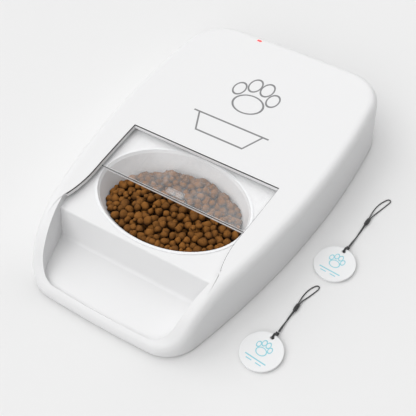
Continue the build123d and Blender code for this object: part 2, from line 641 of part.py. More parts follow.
PITCH = math.pi * GEAR_MODULE
PINION_PITCH_R = GEAR_MODULE * RACK_PINION_TEETH / 2
WHEEL_PITCH_R = GEAR_MODULE * WHEEL_TEETH / 2
MOTOR_PITCH_R = GEAR_MODULE * MOTOR_PINION_TEETH / 2
RACK_PITCH_X = LID_HALF_WIDTH + RACK_BAR + 1.15 * GEAR_MODULE
GEAR_X = RACK_PITCH_X + PINION_PITCH_R + GEAR_BACKLASH
MOTOR_Y = GEAR_Y + WHEEL_PITCH_R + MOTOR_PITCH_R + GEAR_BACKLASH
CHASSIS_TOP = CHASSIS_LEVEL + CHASSIS_THICKNESS
WHEEL_TOP = WHEEL_LEVEL + WHEEL_THICKNESS


def lid_carriage():
    """Bar along the lid's right and rear edges, with the rack's teeth facing outwards."""
    bar = deck_box(LID_HALF_WIDTH, LID_HALF_WIDTH + RACK_BAR, RACK_FRONT_Y, RACK_REAR_Y, LID_GAP, LID_TOP)
    lid_rear = LID_FRONT_Y + LID_LENGTH
    cross = deck_box(-LID_HALF_WIDTH + 4, LID_HALF_WIDTH + 0.5, lid_rear, lid_rear + CARRIAGE_BAR, LID_GAP,
                     LID_TOP)
    root = LID_HALF_WIDTH + RACK_BAR
    tip = RACK_PITCH_X + 0.9 * GEAR_MODULE
    slant = math.tan(math.radians(20))
    half = TOOTH_SHARE * PITCH / 2
    root_half = half + slant * (RACK_PITCH_X - root)
    tip_half = half - slant * (tip - RACK_PITCH_X)
    count = int((RACK_REAR_Y - GEAR_Y - PITCH) / PITCH)
    first = -int((GEAR_Y - RACK_FRONT_Y - PITCH) / PITCH)
    points = [(LID_HALF_WIDTH + 0.5, RACK_FRONT_Y + 0.5)]
    points.append((root, RACK_FRONT_Y + 0.5))
    for index in range(first, count + 1):
        y = GEAR_Y + index * PITCH
        points += [(root, y - root_half), (tip, y - tip_half), (tip, y + tip_half), (root, y + root_half)]
    points += [(root, RACK_REAR_Y - 0.5), (LID_HALF_WIDTH + 0.5, RACK_REAR_Y - 0.5)]
    teeth = extrude(make_face(Polyline(*points, close=True)), LID_THICKNESS)
    return bar + cross + DECK * (Pos(0, 0, LID_GAP) * teeth)


def drive_gear():
    """Compound gear: a small pinion in the rack and a wheel driven by the motor, on one hub."""
    pinion = extrude(gear_face(RACK_PINION_TEETH, 180 / RACK_PINION_TEETH), LID_TOP - WHEEL_TOP + 0.1)
    wheel = extrude(gear_face(WHEEL_TEETH, 180 / WHEEL_TEETH), WHEEL_THICKNESS)
    hub_low = CHASSIS_TOP + GEAR_CLEARANCE
    hub = Pos(0, 0, (hub_low + WHEEL_LEVEL) / 2) * Cylinder(3.2, WHEEL_LEVEL - hub_low)
    gear = Pos(0, 0, WHEEL_TOP) * pinion + Pos(0, 0, WHEEL_LEVEL) * wheel + hub
    gear = gear - Cylinder(AXLE_R + AXLE_FIT, TALL)
    return DECK * (Pos(GEAR_X, GEAR_Y, 0) * gear)


def gear_axle():
    """Steel pin pressed through the chassis for the compound gear."""
    low = CHASSIS_LEVEL
    high = LID_TOP + 0.9
    pin = Pos(GEAR_X, GEAR_Y, (low + high) / 2) * Cylinder(AXLE_R, high - low)
    return DECK * pin


def motor_pinion():
    """Brass pinion on the motor's shaft."""
    face = gear_face(MOTOR_PINION_TEETH)
    gear = Pos(0, 0, WHEEL_LEVEL - 0.1) * extrude(face, WHEEL_THICKNESS + 0.2)
    shaft_low = CHASSIS_LEVEL - MOTOR_LENGTH / 2
    shaft = Pos(0, 0, (shaft_low + WHEEL_LEVEL) / 2) * Cylinder(MOTOR_SHAFT_R, WHEEL_LEVEL - shaft_low)
    return DECK * (Pos(GEAR_X, MOTOR_Y, 0) * (gear + shaft))


def drive_motor():
    """Small motor hung under the chassis, with its shaft upwards."""
    can = Pos(0, 0, CHASSIS_LEVEL - MOTOR_LENGTH / 2) * Cylinder(MOTOR_R, MOTOR_LENGTH)
    can = fillet(can.edges().sort_by(Axis.Z)[0], 1.0)
    boss = Pos(0, 0, CHASSIS_LEVEL + CHASSIS_THICKNESS / 2) * Cylinder(MOTOR_BOSS_R, CHASSIS_THICKNESS)
    tail = Pos(0, 0, CHASSIS_LEVEL - MOTOR_LENGTH - 0.9) * Cylinder(3.0, 2.0)
    bore_depth = MOTOR_LENGTH / 2 - CHASSIS_LEVEL
    motor = can + boss + tail - Cylinder(MOTOR_SHAFT_R + AXLE_FIT, 2 * bore_depth)
    return DECK * (Pos(GEAR_X, MOTOR_Y, 0) * motor)


def chassis():
    """Plate under the retracted lid that carries the gears, motor, rails and switches, on four legs."""
    plate = deck_box(-CHASSIS_HALF_WIDTH, CHASSIS_HALF_WIDTH - 14, CHASSIS_FRONT_Y, CHASSIS_REAR_Y, CHASSIS_LEVEL,
                     CHASSIS_TOP)
    pad = deck_box(CHASSIS_HALF_WIDTH - 15, GEAR_X + MOTOR_R + 1, GEAR_Y - 10, MOTOR_Y + MOTOR_R + 1, CHASSIS_LEVEL,
                   CHASSIS_TOP)
    frame = plate + pad
    under_plate = deck_box(-TALL, TALL, -TALL, TALL * 2, -TALL, CHASSIS_LEVEL + 0.5)
    for x, y in both_sides(CHASSIS_LEGS):
        frame = frame + (column(x, y, PLATE_TOP, TALL / 2, CHASSIS_LEG_R) & under_plate)
    frame = frame - DECK * (Pos(GEAR_X, GEAR_Y, 0) * Cylinder(AXLE_R + 0.01, TALL))
    frame = frame - DECK * (Pos(GEAR_X, MOTOR_Y, CHASSIS_LEVEL) * Cylinder(MOTOR_BOSS_R + 0.05, 10))
    return frame


def guide_rail(side):
    """Rail that carries the lid under the hood; the left one also keeps the lid straight."""
    inner_x = RAIL_HALF_SPREAD - RAIL_WIDTH / 2
    outer_x = RAIL_HALF_SPREAD + RAIL_WIDTH / 2
    top = LID_GAP - RAIL_GAP
    rail = deck_box(inner_x, outer_x, CHASSIS_FRONT_Y, CHASSIS_REAR_Y, CHASSIS_TOP, top)
    if side < 0:
        fence_in = CHANNEL_HALF_WIDTH
        foot = deck_box(outer_x, fence_in + RIDGE, CHASSIS_FRONT_Y, CHASSIS_REAR_Y, CHASSIS_TOP, CHASSIS_TOP + 1.5)
        fence = deck_box(fence_in, fence_in + RIDGE, CHASSIS_FRONT_Y, CHASSIS_REAR_Y, CHASSIS_TOP, LID_TOP)
        rail = mirror(rail + foot + fence, about=Plane.YZ)
    return rail


def limit_switches():
    """Two small lever switches that find the lid shut and open."""
    switches = []
    for y in (CHASSIS_FRONT_Y + 6, CHASSIS_REAR_Y - 8):
        body = deck_box(-54, -44, y - 3, y + 3, CHASSIS_TOP, CHASSIS_TOP + 4.4)
        lever = deck_box(-54, -46, y - 1.5, y + 1.5, CHASSIS_TOP + 4.4, CHASSIS_TOP + 5.0)
        pins = deck_box(-51, -47, y - 1, y + 1, CHASSIS_TOP, CHASSIS_TOP + 1)
        switches.append(body + lever + pins)
    return Compound(children=switches)


def circuit_board():
    x = BOARD_X
    rear = BOARD_FRONT_Y + BOARD_LENGTH
    low = PLATE_TOP + STANDOFF
    board = level_box(x - BOARD_WIDTH / 2, x + BOARD_WIDTH / 2, BOARD_FRONT_Y, rear, low, low + BOARD_THICKNESS)
    for y in standoff_places():
        board = board - column(x, y, low - 1, low + 4, 1.2)
    return board


def board_components():
    """Chips, capacitors and sockets soldered to the circuit board."""
    top = PLATE_TOP + STANDOFF + BOARD_THICKNESS
    chip_sizes = [(9.0, 9.0, 1.4, 12.0), (7.0, 5.0, 1.6, 24.0), (5.0, 4.0, 1.4, 33.0)]
    pieces = []
    for width, length, height, offset in chip_sizes:
        y = BOARD_FRONT_Y + offset
        pieces.append(level_box(BOARD_X - width / 2, BOARD_X + width / 2, y - length / 2, y + length / 2, top,
                                top + height))
    for offset in (40.0, 49.0):
        pieces.append(column(BOARD_X + 4, BOARD_FRONT_Y + offset, top, top + 9, 3.4))
        pieces.append(level_box(BOARD_X - 8, BOARD_X - 3, BOARD_FRONT_Y + offset - 3, BOARD_FRONT_Y + offset + 3,
                                top, top + 5))
    return Compound(children=pieces)


def coil_former():
    """Ring that holds the reader's winding round the bowl, hung from the deck on six pegs."""
    inside = COIL_GAP - shrink_at(COIL_LEVEL + COIL_HEIGHT)
    wall_high = COIL_LEVEL + COIL_HEIGHT + 1.2
    former = bowl_ring(inside, inside + FORMER_WALL, COIL_LEVEL - 1, wall_high)
    former = former + bowl_ring(inside, inside + FORMER_WALL + COIL_WIDTH + 0.6, COIL_LEVEL - 1.2, COIL_LEVEL - 0.1)
    peg_ring = inside + FORMER_WALL + 1.8
    for angle in (20, 60, 120, 160, 215, 325):
        x = (BOWL_HALF_LENGTH + peg_ring) * math.cos(math.radians(angle))
        y = (BOWL_HALF_WIDTH + peg_ring) * math.sin(math.radians(angle))
        low = COIL_LEVEL + COIL_HEIGHT + 0.2
        peg = Pos(x, BOWL_Y + y, (low - DECK_THICKNESS) / 2) * Cylinder(2.4, -DECK_THICKNESS - low)
        former = former + DECK * peg
    return former


def shrink_at(level):
    """How much smaller the bowl's outside is than its mouth, at a level below the deck."""
    return BOWL_FLOOR_SHRINK * -level / BOWL_DEPTH - BOWL_WALL


def antenna_coil():
    """Flat copper winding of the microchip reader."""
    inside = COIL_GAP - shrink_at(COIL_LEVEL + COIL_HEIGHT) + FORMER_WALL + 0.1
    return bowl_ring(inside, inside + COIL_WIDTH, COIL_LEVEL, COIL_LEVEL + COIL_HEIGHT)


def button(x):
    """Push button through the rear wall, with a flange that keeps it in."""
    face_y = HALF_LENGTH - BUTTON_RECESS
    flange_y = HALF_LENGTH - WALL - 0.3
    switch_y = REAR_BOARD_Y + BOARD_THICKNESS + 4.4
    cap = Cylinder(BUTTON_R, face_y - flange_y)
    cap = fillet(cap.edges().sort_by(Axis.Z)[-1], 0.8)
    key = Pos(0, 0, (flange_y + face_y) / 2) * cap
    key = key + Pos(0, 0, flange_y - 0.6) * Cylinder(BUTTON_R + 1.2, 1.2)
    key = key + Pos(0, 0, (flange_y + switch_y + BUTTON_TRAVEL + 0.2) / 2) * Cylinder(
        1.6, flange_y - switch_y - BUTTON_TRAVEL - 0.2)
    return Pos(x, 0, BUTTON_Z) * Rot(-90, 0, 0) * key


def button_board():
    """Upright board behind the rear wall, standing on the base plate."""
    half = 4.0
    return level_box(LED_X - half - 4, BUTTON_X[-1] + half + 4, REAR_BOARD_Y, REAR_BOARD_Y + BOARD_THICKNESS,
                     PLATE_TOP, deck_z(REAR_BOARD_Y) - 2)


def button_switches():
    face = REAR_BOARD_Y + BOARD_THICKNESS
    pieces = []
    for x in BUTTON_X:
        body = level_box(x - 3, x + 3, face, face + 3.5, BUTTON_Z - 3, BUTTON_Z + 3)
        dome = Pos(x, face + 3.9, BUTTON_Z) * Rot(-90, 0, 0) * Cylinder(1.7, 0.9)
        pieces.append(body + dome)
    return Compound(children=pieces)


def status_led():
    face = REAR_BOARD_Y + BOARD_THICKNESS
    top = LAMP_TOP - LIGHT_PIPE - 0.3
    return level_box(LED_X - 1.6, LED_X + 1.6, face, LED_Y + 1.2, top - 3, top)


def light_pipe():
    """Clear red rod from the lamp to its window in the hood."""
    return lamp_pin() & level_box(-TALL, TALL, 0, TALL * 2, LAMP_TOP - LIGHT_PIPE, LAMP_TOP + LENS_PROUD)


# ---------------------------------------------------------------- collar tags
class Tag:
    """One tag's place on the floor and its cord's route, which ends in a barrel knot and a loop."""

    def __init__(self, middle, turn, tether, barrel, loop):
        x, y = middle
        self.place = Pos(x, y, 0) * Rot(0, 0, turn) * Pos(0, -TAG_R, 0) * Rot(TAG_TILT, 0, 0)
        self.tether = tether
        self.barrel = barrel
        self.loop = loop


TAGS = [
    Tag((132.8, -9.4), -4.0,
        [(134.4, 13.2, 2.3), (134.5, 20.5, 1.3), (134.9, 31.5, 0.95), (135.1, 41.0, 2.05)],
        [(135.1, 41.0, 2.05), (135.3, 49.5, 2.05)],
        [(134.75, 49.5, 2.0), (133.9, 57.0, 0.9), (134.0, 64.5, 0.6), (135.3, 70.8, 0.55), (137.6, 76.0, 0.55),
         (139.2, 78.4, 0.55), (141.2, 78.6, 0.55), (142.2, 76.8, 0.55), (141.2, 73.4, 0.55), (139.9, 68.2, 0.55),
         (137.8, 60.5, 0.7), (136.3, 54.5, 1.3), (135.85, 49.5, 2.0)]),
    Tag((124.5, -112.7), -5.5,
        [(126.7, -90.1, 2.3), (126.2, -83.2, 1.3), (126.4, -74.6, 0.95), (127.1, -67.6, 2.05)],
        [(127.1, -67.6, 2.05), (127.0, -58.9, 2.05)],
        [(126.45, -58.9, 2.0), (125.6, -52.2, 0.9), (126.0, -45.6, 0.6), (127.4, -40.2, 0.55), (129.4, -36.4, 0.55),
         (131.0, -34.9, 0.55), (132.9, -35.3, 0.55), (133.3, -37.4, 0.55), (132.2, -41.4, 0.55),
         (130.7, -46.5, 0.55), (128.9, -51.6, 0.9), (127.8, -55.4, 1.5), (127.55, -58.9, 2.0)]),
]


def tag_disc():
    """Both halves of a tag as one disc in its own frame, resting on the edge at y = 0."""
    disc = Pos(0, TAG_R, TAG_THICKNESS / 2) * Cylinder(TAG_R, TAG_THICKNESS)
    disc = fillet(disc.edges().filter_by(GeomType.CIRCLE), 0.6)
    return disc - Pos(0, TAG_R + TAG_HOLE_REACH, 0) * Cylinder(TAG_HOLE_R, 3 * TAG_THICKNESS)


def tag_half(tag, low, high):
    """The part of a tag between two levels, hollowed for the chip and its winding."""
    level = Pos(0, TAG_R, (low + high) / 2) * Box(3 * TAG_R, 3 * TAG_R, high - low)
    half = tag_disc() & level
    pocket = Pos(0, TAG_R, TAG_THICKNESS / 2) * Cylinder(INLAY_R + 0.1, INLAY_THICKNESS + 0.1)
    return tag.place * (half - pocket)


INLAY_R = 11.0
INLAY_THICKNESS = 0.6


def tag_inlay(tag):
    """Thin disc with the tag's chip and winding, sealed between the two halves."""
    return tag.place * (Pos(0, TAG_R, TAG_THICKNESS / 2) * Cylinder(INLAY_R, INLAY_THICKNESS))


def tag_hitch(tag):
    """Cord hitched through the hole and round the rim, drawn into a small knot."""
    reach = 2.4
    ring_y = TAG_R + TAG_HOLE_REACH + reach
    ring = Pos(0, ring_y, TAG_THICKNESS / 2) * Rot(0, 90, 0) * Torus(reach, 0.6)
    knot = Pos(0, ring_y + reach + 2.0, -0.9) * Sphere(KNOT_R - 0.2)
    return tag.place * (ring + knot)


def cord_radii(points):
    """Bend radius at each inner point of a cord's route."""
    places = [Vector(*point) for point in points]
    radii = []
    for before, here, after in zip(places, places[1:], places[2:]):
        turn = math.radians((here - before).get_angle(after - here))
        shorter = min((here - before).length, (after - here).length)
        radii.append(0.45 * shorter / math.tan(turn / 2))
    return radii


def cord(points, radius):
    """Round cord of straight runs joined by tangent arcs."""
    radii = cord_radii(points)
    with BuildLine() as line:
        FilletPolyline(*points, radius=radii)
    path = line.wires()[0]
    return sweep(Plane(origin=path @ 0, z_dir=path % 0) * Circle(radius), path=path)


def tag_barrel(tag):
    """Barrel knot that draws the loop tight."""
    start, end = [Vector(*point) for point in tag.barrel]
    axis = end - start
    barrel = Pos(0, 0, axis.length / 2) * Cylinder(KNOT_R, axis.length)
    barrel = fillet(barrel.edges().filter_by(GeomType.CIRCLE), 0.8)
    return Plane(origin=start, z_dir=axis) * barrel


# ---------------------------------------------------------------- build and write
outer = hull()
inner = hull(WALL)
parts = {"base_shell": base_shell(outer, inner), "top_cover": top_cover(outer, inner)}
for piece in (base_plate, battery_door, battery_box, battery_cells, battery_contacts, rubber_feet, housing_screws,
              bowl, dry_food, slot_trim, lid, lid_carriage, drive_gear, gear_axle, motor_pinion, drive_motor,
              chassis, limit_switches, circuit_board, board_components, coil_former, antenna_coil, button_board, button_switches,
              status_led, light_pipe):
    parts[piece.__name__] = piece()
parts["guide_rail_left"] = guide_rail(-1)
parts["guide_rail_right"] = guide_rail(1)
parts["learn_button"] = button(BUTTON_X[0])
parts["lid_button"] = button(BUTTON_X[1])
for number, tag in enumerate(TAGS, start=1):
    middle = TAG_THICKNESS / 2
    parts[f"tag_{number}_base"] = tag_half(tag, -1, middle)
    parts[f"tag_{number}_cover"] = tag_half(tag, middle, TAG_THICKNESS + 1)
    parts[f"tag_{number}_inlay"] = tag_inlay(tag)
    parts[f"tag_{number}_hitch"] = tag_hitch(tag)
    parts[f"tag_{number}_tether"] = cord(tag.tether, TETHER_R)
    parts[f"tag_{number}_barrel"] = tag_barrel(tag)
    parts[f"tag_{number}_loop"] = cord(tag.loop, CORD_R)

os.makedirs("parts", exist_ok=True)
for name, shape in parts.items():
    export_step(shape, f"parts/{name}.step")
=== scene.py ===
import math
import random

import bmesh
import bpy
import numpy as np
from mathutils import Matrix, Vector, noise


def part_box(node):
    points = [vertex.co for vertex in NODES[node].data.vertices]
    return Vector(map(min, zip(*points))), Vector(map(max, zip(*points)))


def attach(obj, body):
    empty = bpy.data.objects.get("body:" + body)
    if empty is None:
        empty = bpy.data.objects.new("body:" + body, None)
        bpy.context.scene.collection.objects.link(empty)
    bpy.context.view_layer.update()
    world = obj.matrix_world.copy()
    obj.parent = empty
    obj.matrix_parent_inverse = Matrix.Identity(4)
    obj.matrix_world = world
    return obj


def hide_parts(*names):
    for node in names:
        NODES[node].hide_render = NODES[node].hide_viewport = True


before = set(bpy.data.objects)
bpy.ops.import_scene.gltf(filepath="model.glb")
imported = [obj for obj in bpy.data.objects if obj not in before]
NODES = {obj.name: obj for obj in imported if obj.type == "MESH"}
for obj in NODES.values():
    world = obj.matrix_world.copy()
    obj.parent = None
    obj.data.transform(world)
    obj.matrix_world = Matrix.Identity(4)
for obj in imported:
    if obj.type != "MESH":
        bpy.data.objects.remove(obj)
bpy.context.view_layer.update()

bl_info = {
    "name": "Pet Feeder Dressing",
    "version": (1, 0, 0),
    "blender": (4, 5, 0),
    "location": "View3D > Sidebar > Feeder",
    "description": "Finishes, dry food, tag cords and a studio for a pet feeder with a sliding lid",
    "category": "Object",
}

MM = 0.001
SLOPE = math.radians(1.72)                  # the deck, lid and hood rise to the rear
DECK = Matrix.Translation((0, 0, 44 * MM)) @ Matrix.Rotation(SLOPE, 4, "X")
DECK_UP = DECK.to_3x3() @ Vector((0, 0, 1))
BOWL_LOW, BOWL_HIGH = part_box("bowl")
BOWL_Y = (BOWL_LOW.y + BOWL_HIGH.y) / 2 / math.cos(SLOPE)
BOWL_RIM = 2.8 * MM
MOUTH_X = (BOWL_HIGH.x - BOWL_LOW.x) / 2 - BOWL_RIM
MOUTH_Y = (BOWL_HIGH.y - BOWL_LOW.y) / 2 / math.cos(SLOPE) - BOWL_RIM
LID_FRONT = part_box("lid")[0].y


# ---------------------------------------------------------------- settings
class FeederSettings(bpy.types.PropertyGroup):
    """Sizes, colours and lights that a user may change"""
    shell_colour: bpy.props.FloatVectorProperty(
        name="Shell colour", description="Moulded plastic of the housing and cover",
        subtype="COLOR", size=3, default=(0.748, 0.748, 0.752))
    bowl_colour: bpy.props.FloatVectorProperty(
        name="Bowl colour", description="Glossy plastic of the lift-out bowl",
        subtype="COLOR", size=3, default=(0.79, 0.795, 0.805))
    lid_haze: bpy.props.FloatProperty(
        name="Lid haze", description="How milky the clear lid looks",
        subtype="FACTOR", default=0.07, min=0, max=1)
    print_colour: bpy.props.FloatVectorProperty(
        name="Tag print", description="Ink of the marks on the collar tags",
        subtype="COLOR", size=3, default=(0.10, 0.50, 0.60))
    mark_colour: bpy.props.FloatVectorProperty(
        name="Hood print", description="Ink of the mark on the hood",
        subtype="COLOR", size=3, default=(0.13, 0.13, 0.135))
    food_size: bpy.props.FloatProperty(
        name="Kibble size", description="Usual diameter of one piece of dry food",
        subtype="DISTANCE", unit="LENGTH", default=7.5 * MM)
    food_count: bpy.props.IntProperty(
        name="Kibble count", description="Pieces of dry food in the bowl", default=1000, min=1)
    food_colour: bpy.props.FloatVectorProperty(
        name="Kibble colour", description="Baked brown of the dry food",
        subtype="COLOR", size=3, default=(0.245, 0.096, 0.017))
    cord_diameter: bpy.props.FloatProperty(
        name="Cord diameter", description="One strand of a tag's cord",
        subtype="DISTANCE", unit="LENGTH", default=1.0 * MM)
    camera_distance: bpy.props.FloatProperty(
        name="Camera distance", description="From the camera to the point it looks at",
        subtype="DISTANCE", unit="LENGTH", default=779.5 * MM)
    camera_azimuth: bpy.props.FloatProperty(
        name="Camera azimuth", description="Turn of the camera round the feeder",
        subtype="ANGLE", default=math.radians(35.706))
    camera_elevation: bpy.props.FloatProperty(
        name="Camera elevation", description="Height angle of the camera",
        subtype="ANGLE", default=math.radians(49.251))
    front_strength: bpy.props.FloatProperty(
        name="Front strength", description="Soft lamp above the front", default=1.70, min=0)
    left_strength: bpy.props.FloatProperty(
        name="Left strength", description="Soft lamp above the left side", default=1.16, min=0)
    rear_strength: bpy.props.FloatProperty(
        name="Rear strength", description="Soft lamp above the rear", default=1.18, min=0)


# ---------------------------------------------------------------- shader arithmetic
class Field:
    """A value over a surface, kept as a node socket, on which arithmetic can be written."""

    def __init__(self, tree, socket):
        self.tree = tree
        self.socket = socket

    def calc(self, operation, *values):
        node = self.tree.nodes.new("ShaderNodeMath")
        node.operation = operation
        for place, value in zip(node.inputs, values):
            plug(self.tree, place, value)
        return Field(self.tree, node.outputs[0])

    def __add__(self, other):
        return self.calc("ADD", self, other)

    def __radd__(self, other):
        return self.calc("ADD", other, self)

    def __sub__(self, other):
        return self.calc("SUBTRACT", self, other)

    def __rsub__(self, other):
        return self.calc("SUBTRACT", other, self)

    def __mul__(self, other):
        return self.calc("MULTIPLY", self, other)

    def __rmul__(self, other):
        return self.calc("MULTIPLY", other, self)

    def __truediv__(self, other):
        return self.calc("DIVIDE", self, other)

    def __pow__(self, other):
        return self.calc("POWER", self, other)

    def __lt__(self, other):
        return self.calc("LESS_THAN", self, other)

    def __gt__(self, other):
        return self.calc("GREATER_THAN", self, other)

    def size(self):
        return self.calc("ABSOLUTE", self)

    def least(self, other):
        return self.calc("MINIMUM", self, other)

    def most(self, other):
        return self.calc("MAXIMUM", self, other)

    def wave(self):
        return self.calc("SINE", self)

    def root(self):
        return self.calc("SQRT", self)

    def past_whole(self):
        """What is left past the last whole number."""
        return self.calc("FRACT", self)

    def rise(self, low, high):
        """0 below low, 1 above high, and smooth between them."""
        node = self.tree.nodes.new("ShaderNodeMapRange")
        node.interpolation_type = "SMOOTHSTEP"
        plug(self.tree, node.inputs["Value"], self)
        node.inputs["From Min"].default_value = low
        node.inputs["From Max"].default_value = high
        return Field(self.tree, node.outputs["Result"])


def plug(tree, place, value):
    """Feeds an input socket from a field, or sets its own value."""
    if isinstance(value, Field):
        tree.links.new(value.socket, place)
    else:
        place.default_value = value


class Finish:
    """One procedural material, with its main shader and the coordinates it is laid out on."""

    def __init__(self, name, colour, roughness, **shader):
        self.material = bpy.data.materials.new(name)
        self.material.use_nodes = True
        self.tree = self.material.node_tree
        self.shader = self.tree.nodes["Principled BSDF"]
        self.shader.inputs["Base Color"].default_value = (*colour, 1)
        self.shader.inputs["Roughness"].default_value = roughness
        for socket, value in shader.items():
            self.shader.inputs[socket.replace("_", " ")].default_value = value
        self.material.diffuse_color = (*colour, 1)
        self.place = self.node("ShaderNodeTexCoord", output="Object")

    def node(self, kind, settings=None, output=0, **sockets):
        """Any node, its settings set before its sockets; the output comes back as a field."""
        node = self.tree.nodes.new(kind)
        for key, value in (settings or {}).items():
            setattr(node, key, value)
        for key, value in sockets.items():
            plug(self.tree, node.inputs[key.replace("_", " ")], value)
        return Field(self.tree, node.outputs[output])

    def axes(self, vector=None):
        """Across, along and up, of the piece's own coordinates unless others are given."""
        node = self.tree.nodes.new("ShaderNodeSeparateXYZ")
        plug(self.tree, node.inputs[0], vector or self.place)
        return [Field(self.tree, socket) for socket in node.outputs]

    def stretched(self, scale=(1, 1, 1), turn=(0, 0, 0)):
        """The piece's coordinates, stretched and turned."""
        return self.node("ShaderNodeMapping", Vector=self.place, Scale=scale, Rotation=turn)

    def grain(self, scale, detail=2.0, roughness=0.5, vector=None):
        """Soft noise with blotches about 1 / scale metres across."""
        return self.node("ShaderNodeTexNoise", Vector=vector or self.place, Scale=scale,
                         Detail=detail, Roughness=roughness)

    def cells(self, scale, vector=None):
        """Distance from the middles of cells about 1 / scale metres across."""
        return self.node("ShaderNodeTexVoronoi", output="Distance", Vector=vector or self.place,
                         Scale=scale)

    def blend(self, factor, first, second):
        """Colour between two colours."""
        node = self.tree.nodes.new("ShaderNodeMix")
        node.data_type = "RGBA"
        plug(self.tree, node.inputs[0], factor)
        for place, value in ((node.inputs[6], first), (node.inputs[7], second)):
            plug(self.tree, place, value if isinstance(value, Field) else (*value, 1))
        return Field(self.tree, node.outputs[2])

    def put(self, **sockets):
        """Feeds the main shader's sockets."""
        for key, value in sockets.items():
            plug(self.tree, self.shader.inputs[key.replace("_", " ")], value)

    def colour_so_far(self):
        """The colour that feeds the main shader, to print over."""
        return Field(self.tree, self.shader.inputs["Base Color"].links[0].from_socket)

    def facing(self):
        """The three parts of the way that the surface faces."""
        return self.axes(self.node("ShaderNodeNewGeometry", output="True Normal"))

    def relief(self, height, depth):
        """Bump of the given depth, in metres, over the surface."""
        bump = self.node("ShaderNodeBump", Height=height, Distance=depth, Strength=1.0)
        self.tree.links.new(bump.socket, self.shader.inputs["Normal"])
        return self


def shade(colour, factor):
    """A colour made darker."""
    return tuple(channel * factor for channel in colour)


# ---------------------------------------------------------------- finishes
def moulded(name, colour, roughness, grain_size=0.35 * MM, grain_depth=0.012 * MM, mottling=0.025):
    """Injection-moulded plastic: fine eroded grain, faint flow marks and a little uneven gloss."""
    finish = Finish(name, colour, roughness)
    flow = finish.grain(28, 3)
    fine = finish.grain(1 / grain_size, 2)
    tone = flow * mottling + fine * mottling * 0.5 + (1 - mottling * 0.75)
    finish.put(Base_Color=finish.blend(tone.rise(0.9, 1.05), shade(colour, 1 - mottling), colour),
               Roughness=roughness + (flow - 0.5) * 0.10 + (fine - 0.5) * 0.06)
    return finish.relief(fine, grain_depth)


# a paw's pad and toes: the middle and half widths of each oval, as shares of the paw's size
PAW_OVALS = ((0.0, -0.14, 0.30, 0.235), (-0.36, 0.16, 0.115, 0.165), (-0.13, 0.36, 0.12, 0.175),
             (0.13, 0.36, 0.12, 0.175), (0.36, 0.16, 0.115, 0.165))


def oval(across, along, x, y, half_x, half_y):
    """Below 1 inside an oval."""
    return ((across - x) / half_x) ** 2.0 + ((along - y) / half_y) ** 2.0


def bar(across, along, x, y, half_x, half_y):
    """Distance outside an upright bar, 0 inside it."""
    return ((across - x).size() - half_x).most((along - y).size() - half_y)


def paw_mark(across, along, x, y, size, line, edge):
    """Mask of a paw in outline: a broad pad with four toes above it."""
    mask = None
    for dx, dy, half_x, half_y in PAW_OVALS:
        reach = oval(across, along, x + dx * size, y + dy * size, half_x * size, half_y * size)
        distance = (reach.root() - 1) * (half_x + half_y) / 2 * size
        stroke = 1 - (distance.size() - line / 2).rise(-edge, edge)
        mask = stroke if mask is None else mask.most(stroke)
    return mask


HOOD_PAW_Y, HOOD_PAW_SIZE = 78 * MM, 48 * MM
HOOD_BOWL_Y = 33 * MM
HOOD_BOWL_HALF_HEIGHT = 10 * MM
HOOD_BOWL_RIM, HOOD_BOWL_MIDDLE, HOOD_BOWL_FOOT = 38 * MM, 28 * MM, 24 * MM   # half widths
HOOD_BOWL_LEAN = 0.45                       # the bowl's sides move out this much per height
HOOD_LINE = 1.7 * MM
HOOD_TOP = 40 * MM                          # the print is only on what lies above this


def hood_plastic(settings):
    """The cover's plastic with a plain printed mark: a paw over a bowl."""
    finish = moulded("Cover_plastic", settings.shell_colour, 0.42)
    across, along, up = finish.axes()
    edge = 0.22 * MM
    half_line = HOOD_LINE / 2
    paw = paw_mark(across, along, 0.0, HOOD_PAW_Y, HOOD_PAW_SIZE, HOOD_LINE, edge)
    top = bar(across, along, 0.0, HOOD_BOWL_Y + HOOD_BOWL_HALF_HEIGHT, HOOD_BOWL_RIM, half_line)
    foot = bar(across, along, 0.0, HOOD_BOWL_Y - HOOD_BOWL_HALF_HEIGHT, HOOD_BOWL_FOOT, half_line)
    height = along - HOOD_BOWL_Y
    side = (across.size() - (height * HOOD_BOWL_LEAN + HOOD_BOWL_MIDDLE)).size() - half_line
    side = side.most(height.size() - HOOD_BOWL_HALF_HEIGHT)
    bowl = 1 - top.least(side).least(foot).rise(-edge, edge)
    ink = paw.most(bowl) * (up > HOOD_TOP)
    worn = finish.grain(900, 2).rise(0.25, 0.5) * 0.12 + 0.84
    finish.put(Base_Color=finish.blend(ink * worn, finish.colour_so_far(), settings.mark_colour))
    return finish


LID_TINT = (0.90, 0.91, 0.92)
LID_LINE_FROM, LID_LINE_TO = 0.35 * MM, 0.95 * MM    # painted shade: a dark line behind the lid's front edge
LID_GLINT_TO = 1.5 * MM                              # painted highlight: a bright line behind the painted shade
GRIP_FROM, GRIP_PITCH, GRIP_ROWS = 4 * MM, 2.2 * MM, 2.5
GRIP_HALF_WIDTH = 8 * MM


